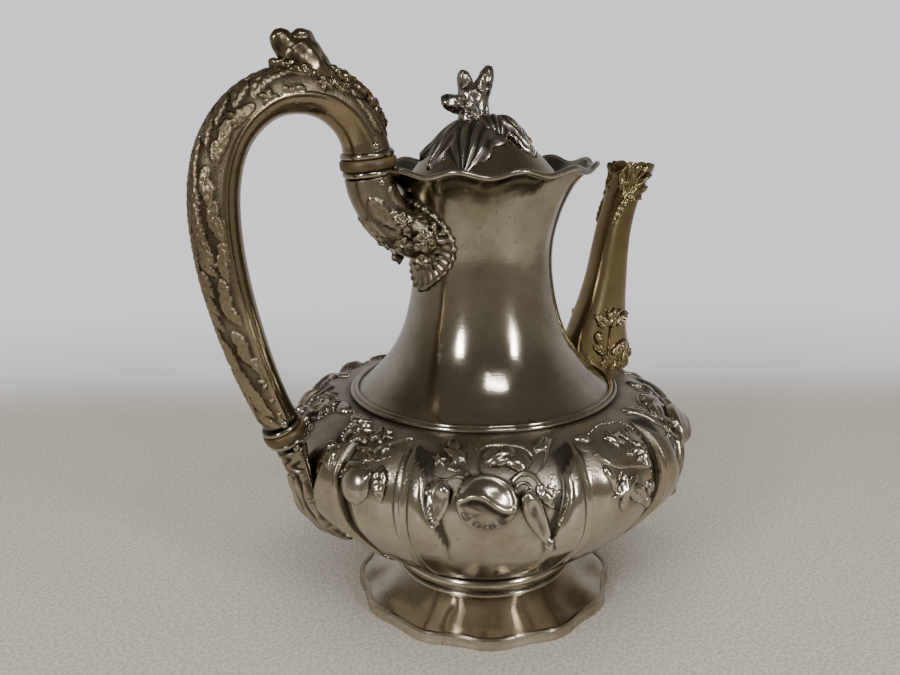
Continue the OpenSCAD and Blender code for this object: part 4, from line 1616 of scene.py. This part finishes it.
def spoutRings(rows, less=0.0):
    line = smoothPath(spout["path"], rows)
    t = np.linspace(0, fullTurn, spout["cols"], endpoint=False)
    c = np.sign(np.cos(t)) * np.abs(np.cos(t))**spout["square"]
    s = np.sign(np.sin(t)) * np.abs(np.sin(t))**spout["square"]
    deep = (line[:, 2:3] - less) * c
    lean = np.radians(line[:, 4:5])
    grid = np.stack([line[:, 0:1] + deep * np.cos(lean),
                     (line[:, 3:4] - less) * s + 0 * deep,
                     line[:, 1:2] + deep * np.sin(lean)], -1)
    return grid, line, t


def makeSpout():
    outer, line, t = spoutRings(spout["rows"])
    way = outer - outer.mean(1, keepdims=True)
    way /= np.linalg.norm(way, axis=-1)[..., None]
    lip = np.exp(-((np.arange(spout["rows"]) - spout["rows"] + 3) / 2.2)**2)
    outer += way * (0.05 * lumps(outer, 24, 31) + 0.5 * lip[:, None])[
        ..., None]
    inner = spoutRings(50, spout["wall"])[0]
    for rings in (outer, inner):
        # The mouth rises at the sides and runs out to a lip.
        share = ramp(np.linspace(0, 1, len(rings)), 0.76, 1.0)[:, None]
        tall = 5.4 * np.abs(np.sin(t))**1.4 * (1 + 0.09 * np.cos(t * 16)) \
            + 4.0 * np.maximum(np.cos(t), 0)**2
        rings[..., 2] += share * tall
        rings[..., 0] += share * 1.6 * np.maximum(np.cos(t), 0)**3
    whole = np.concatenate([outer, inner[::-1]])
    stand("spout_tube", whole,
          gridFaces(len(whole), spout["cols"], wrapRows=True), "spoutGilt",
          "gilt_tarnish", sharp=60)
    run = runAlong(line)
    return Surface(outer, run, np.linspace(0, 360, len(t) + 1)), line, run


spoutSurface, spoutLine, spoutRun = makeSpout()


def unsquare(share):
    # Undoes the squaring of the spout's section.
    return np.sign(share) * np.abs(share)**(1 / spout["square"])


def spoutPatch(across, along, turn, motifs, shown=True):
    height = np.where(shown, together(across, along, motifs), -1.0)
    points, normals = spoutSurface.frame(along, np.degrees(turn), 0.8, 3.0)
    return reliefPatch(height, points, normals, sink=0.6)


def spoutSides(motifs, low, high, reach=0.94):
    # Ornament on both broad sides of the spout: across is towards its lip.
    across, along = field(17.0, low, high, 0.34)
    part = across / np.interp(along, spoutRun, spoutLine[:, 2])
    turn = np.arccos(unsquare(np.clip(part, -reach, reach)))
    return [spoutPatch(across, along, turn * side, motifs,
                       np.abs(part) <= reach) for side in (1, -1)]


def spoutPiece(node, parts):
    points, faces = joinParts([(p, f) for p, f, dip in parts])
    dips = np.concatenate([dip for p, f, dip in parts])
    stand(node, points, faces, "spoutGilt", "gilt_tarnish",
          recess=dips + 0.04)


def makeSpoutOrnament():
    top = spoutRun[-1]
    shell = [(fan, (-3.4, top - 15.0), 68, 15.6, 6, 2.0, 50),
             (fan, (-2.4, top - 12.0), 66, 10.4, 5, 2.6, 46),
             (curlEnd, (-4.6, top - 11.6), 3.6, 150, -1),
             (leaf, (-2.6, top - 13.0), -108, 11.5, 4.4, 1.3),
             (curlEnd, (3.4, top - 12.0), 3.0, 20, 1)]
    spoutPiece("spout_mouth_shell", spoutSides(shell, top - 27, top - 0.6,
                                               0.97))
    lotus = [(fan, (0.6, 22.5), 90, 8.6, 5, 2.2, 62),
             (bud, (0.6, 26.5), (2.6, 4.8), 0, 2.8, 1),
             (leaf, (-2.0, 23.0), 142, 9.0, 5.4, 2.0),
             (leaf, (3.2, 23.0), 38, 9.0, 5.4, 2.0),
             (stem, [(0.6, 23.0), (0.0, 15.0), (-1.0, 6.0)], 0.9, 0.1),
             (stem, [(-5.4, 16.4), (-3.6, 10.0), (-2.0, 5.0)], 0.8, 0.1),
             (bud, (-6.0, 18.2), (2.4, 3.2), 24, 2.0),
             (leaf, (1.8, 9.4), 34, 10.6, 5.0, 1.8),
             (leaf, (-2.0, 11.0), 148, 8.6, 4.2, 1.6)]
    rng = np.random.default_rng(5)
    for x in np.arange(-11.5, 12.0, 1.5):
        lotus.append((leaf, (x, 1.6), 90 + rng.uniform(-22, 22),
                      rng.uniform(5, 9), 1.9, 1.2, 1))
    spoutPiece("spout_base_flower", spoutSides(lotus, 1.0, 33))
    across, along = field(8, 1.0, 18, 0.34)
    turn = np.arcsin(unsquare(np.clip(across / 10.2, -0.9, 0.9)))
    spoutPiece("spout_base_leaf", [spoutPatch(across, along, turn, [
        (leaf, (0, 2.0), 90, 14.0, 8.6, 2.2),
        (leaf, (2.0, 2.0), 52, 8.5, 4.4, 1.7),
        (leaf, (-2.0, 2.0), 128, 8.5, 4.4, 1.7)])])


makeSpoutOrnament()
print("spout made")


lid = {
    "path": [[31.8, 171], [31.6, 173], [30.8, 177], [29, 181],
             [26, 184.6], [22.4, 188.4], [18, 192.4], [13.4, 196],
             [8.5, 198.8], [4, 200.2], [1.6, 200.6]],
    "wall": 1.0, "rows": 60, "turns": 144,
}
lidLeaves = [  # direction, reach, half width, lift, tip curl
    (221, 27.5, 11.4, 3.4, -0.6), (187, 27.0, 8.4, 3.2, 1.0),
    (151, 25.0, 7.8, 3.0, 2.0), (258, 18.0, 6.6, 4.8, -1.4),
    (299, 23.5, 6.0, 4.8, 0.6), (342, 20.5, 6.4, 3.4, 2.0),
    (18, 24.0, 8.6, 2.6, 2.2), (69, 23.0, 8.8, 3.0, 1.0),
    (112, 21.5, 7.6, 3.4, 1.4),
]


def makeDome():
    path = smoothPath(lid["path"], lid["rows"])
    grid, faces = revolve(thickStrip(path, lid["wall"]), lid["turns"])
    grid[..., 2] += 0.05 * lumps(grid, 26, 14)
    stand("lid_dome", grid, faces, "neckSilver", body="lid")
    return path


domePath = makeDome()


def lidLeaf(around, reach, half, lift, curl):
    # Ribbed cast leaf lying over the dome, with a ruffled edge.
    t = np.linspace(0, 1, 44)[:, None]
    b = np.linspace(-1, 1, 40)[None, :]
    ripple = 1 + 0.12 * np.cos(t * 17) * np.abs(b)
    across = half * ripple * b * np.sin(
        math.pi * np.clip(0.12 + 0.86 * t, 0, 1)**0.8)**0.7
    r = 4.0 + (reach - 4.0) * t + 0 * b
    base = np.interp(np.hypot(r, across), domePath[::-1, 0],
                     domePath[::-1, 1])
    vein = 0.55 * np.cos((b + 0.22 * np.sin(t * 3)) * math.pi * 5.0) \
        * (0.25 + 0.75 * t) - 0.7 * np.exp(-(b / 0.07)**2)
    ruffle = 0.7 * np.cos(t * 17 + 1) * b * b - 1.5 * b**4
    high = 0.6 + lift * np.sin(math.pi * np.clip(t * 0.9 + 0.1, 0, 1)) \
        * (1 - 0.4 * b * b) + curl * ramp(t, 0.72, 1.0) + vein + ruffle
    low = np.where(t > 0.75, high - 1.0,
                   np.minimum(high - 1.0, high * 0.2 - 0.6))
    a = math.radians(around)
    x = r * math.cos(a) - across * math.sin(a)
    y = r * math.sin(a) + across * math.cos(a)
    top = np.stack([x, y, base + high], -1)
    under = np.stack([x, y, base + low], -1)
    points, faces = cappedTube(np.concatenate([top, under[:, ::-1]], 1))
    dips = np.clip(0.35 - vein, 0, 1)
    # The leaf's underside is set dark throughout.
    dips = np.concatenate([dips, dips * 0 + 0.9], 1)
    return points, faces, np.append(dips.ravel(), [0.5, 0.5])


def makeLidLeaves():
    rows = [lidLeaf(*row) for row in lidLeaves]
    points, faces = joinParts([(p, f) for p, f, dip in rows])
    stand("finial_leaves", points, faces, "castSilver", "dark_silver", "lid",
          recess=np.concatenate([dip for p, f, dip in rows]))


branch = {
    "turn": -33.3,   # the way the fork spreads, in degrees
    "limbs": [       # [sideways, towards, height, radius]
        [[-3, 0, 198.6, 8.0], [-3.1, 0, 201.6, 6.8], [-3.2, 0, 205.6, 5.9],
         [-3.3, 0, 209.6, 5.6], [-3.0, 0, 212.8, 5.0], [-2.7, 0, 214.6, 2.6]],
        [[-4.6, 0, 209.4, 4.0], [-5.9, 0.4, 213.4, 3.5],
         [-6.9, 0.5, 216.8, 2.8], [-7.4, 0.2, 219.2, 2.0],
         [-7.5, 0.1, 220.4, 1.0]],
        [[-1.6, 0, 209.6, 4.2], [0.2, -0.3, 213.6, 3.6],
         [1.6, -0.4, 217.2, 3.0], [2.5, -0.2, 220.2, 2.2],
         [2.9, -0.1, 221.6, 1.1]],
        [[-4.6, 0, 205.8, 4.2], [-8.0, -0.4, 206.9, 3.8],
         [-11.4, -0.6, 207.9, 3.3], [-14.2, -0.4, 208.8, 2.8],
         [-16.0, -0.2, 209.2, 1.4]],
        [[-2.0, 2.0, 203.4, 4.0], [0.4, 3.4, 204.6, 2.6],
         [1.2, 4.0, 205.0, 1.2]],
        [[-5.0, 0, 200.2, 2.6], [-9.0, 2.0, 198.6, 1.9],
         [-12.6, 4.2, 196.2, 1.2]],
        [[0, 0, 200.2, 2.6], [5.0, -1.6, 198.8, 1.8],
         [9.2, -2.6, 196.8, 1.1]],
    ],
    "cell": 0.42,
}


def makeBranch():
    turn = math.radians(branch["turn"])
    parts = []
    for limb in branch["limbs"]:
        line = smoothPath(limb, 16, flat=3)
        x, y = line[:, 0].copy(), line[:, 1].copy()
        line[:, 0] = x * math.cos(turn) - y * math.sin(turn)
        line[:, 1] = x * math.sin(turn) + y * math.cos(turn)
        parts.append(cappedTube(roundTube(line, 20)))
    piece = makePiece("finial_branch_fine", *joinParts(parts),
                      metals["castSilver"])
    points, normals = melt(piece, branch["cell"])
    squeezed = points * [1.0, 1.0, 0.42]
    bark = 0.22 * (1 - 2 * np.abs(lumps(squeezed, 2.6, 40, 14))) \
        + 0.16 * lumps(points, 4.4, 41) + 0.1 * lumps(squeezed, 1.3, 42, 14)
    roughen(piece, points, normals, bark, 0.3 - bark * 1.6)
    settle(piece, "lid", "dark_silver", "finial_branch")


makeLidLeaves()
makeBranch()
print("lid made")


for nodeName in ("spout_strainer", "neck_hinge_knuckles", "hinge_pin",
                 "lid_hinge_knuckle", "lid_bezel", "finial_nut"):
    finish = "neckSilver" if nodeName == "lid_bezel" else "dullSilver"
    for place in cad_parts[nodeName].material_slots:
        place.material = metals[finish]
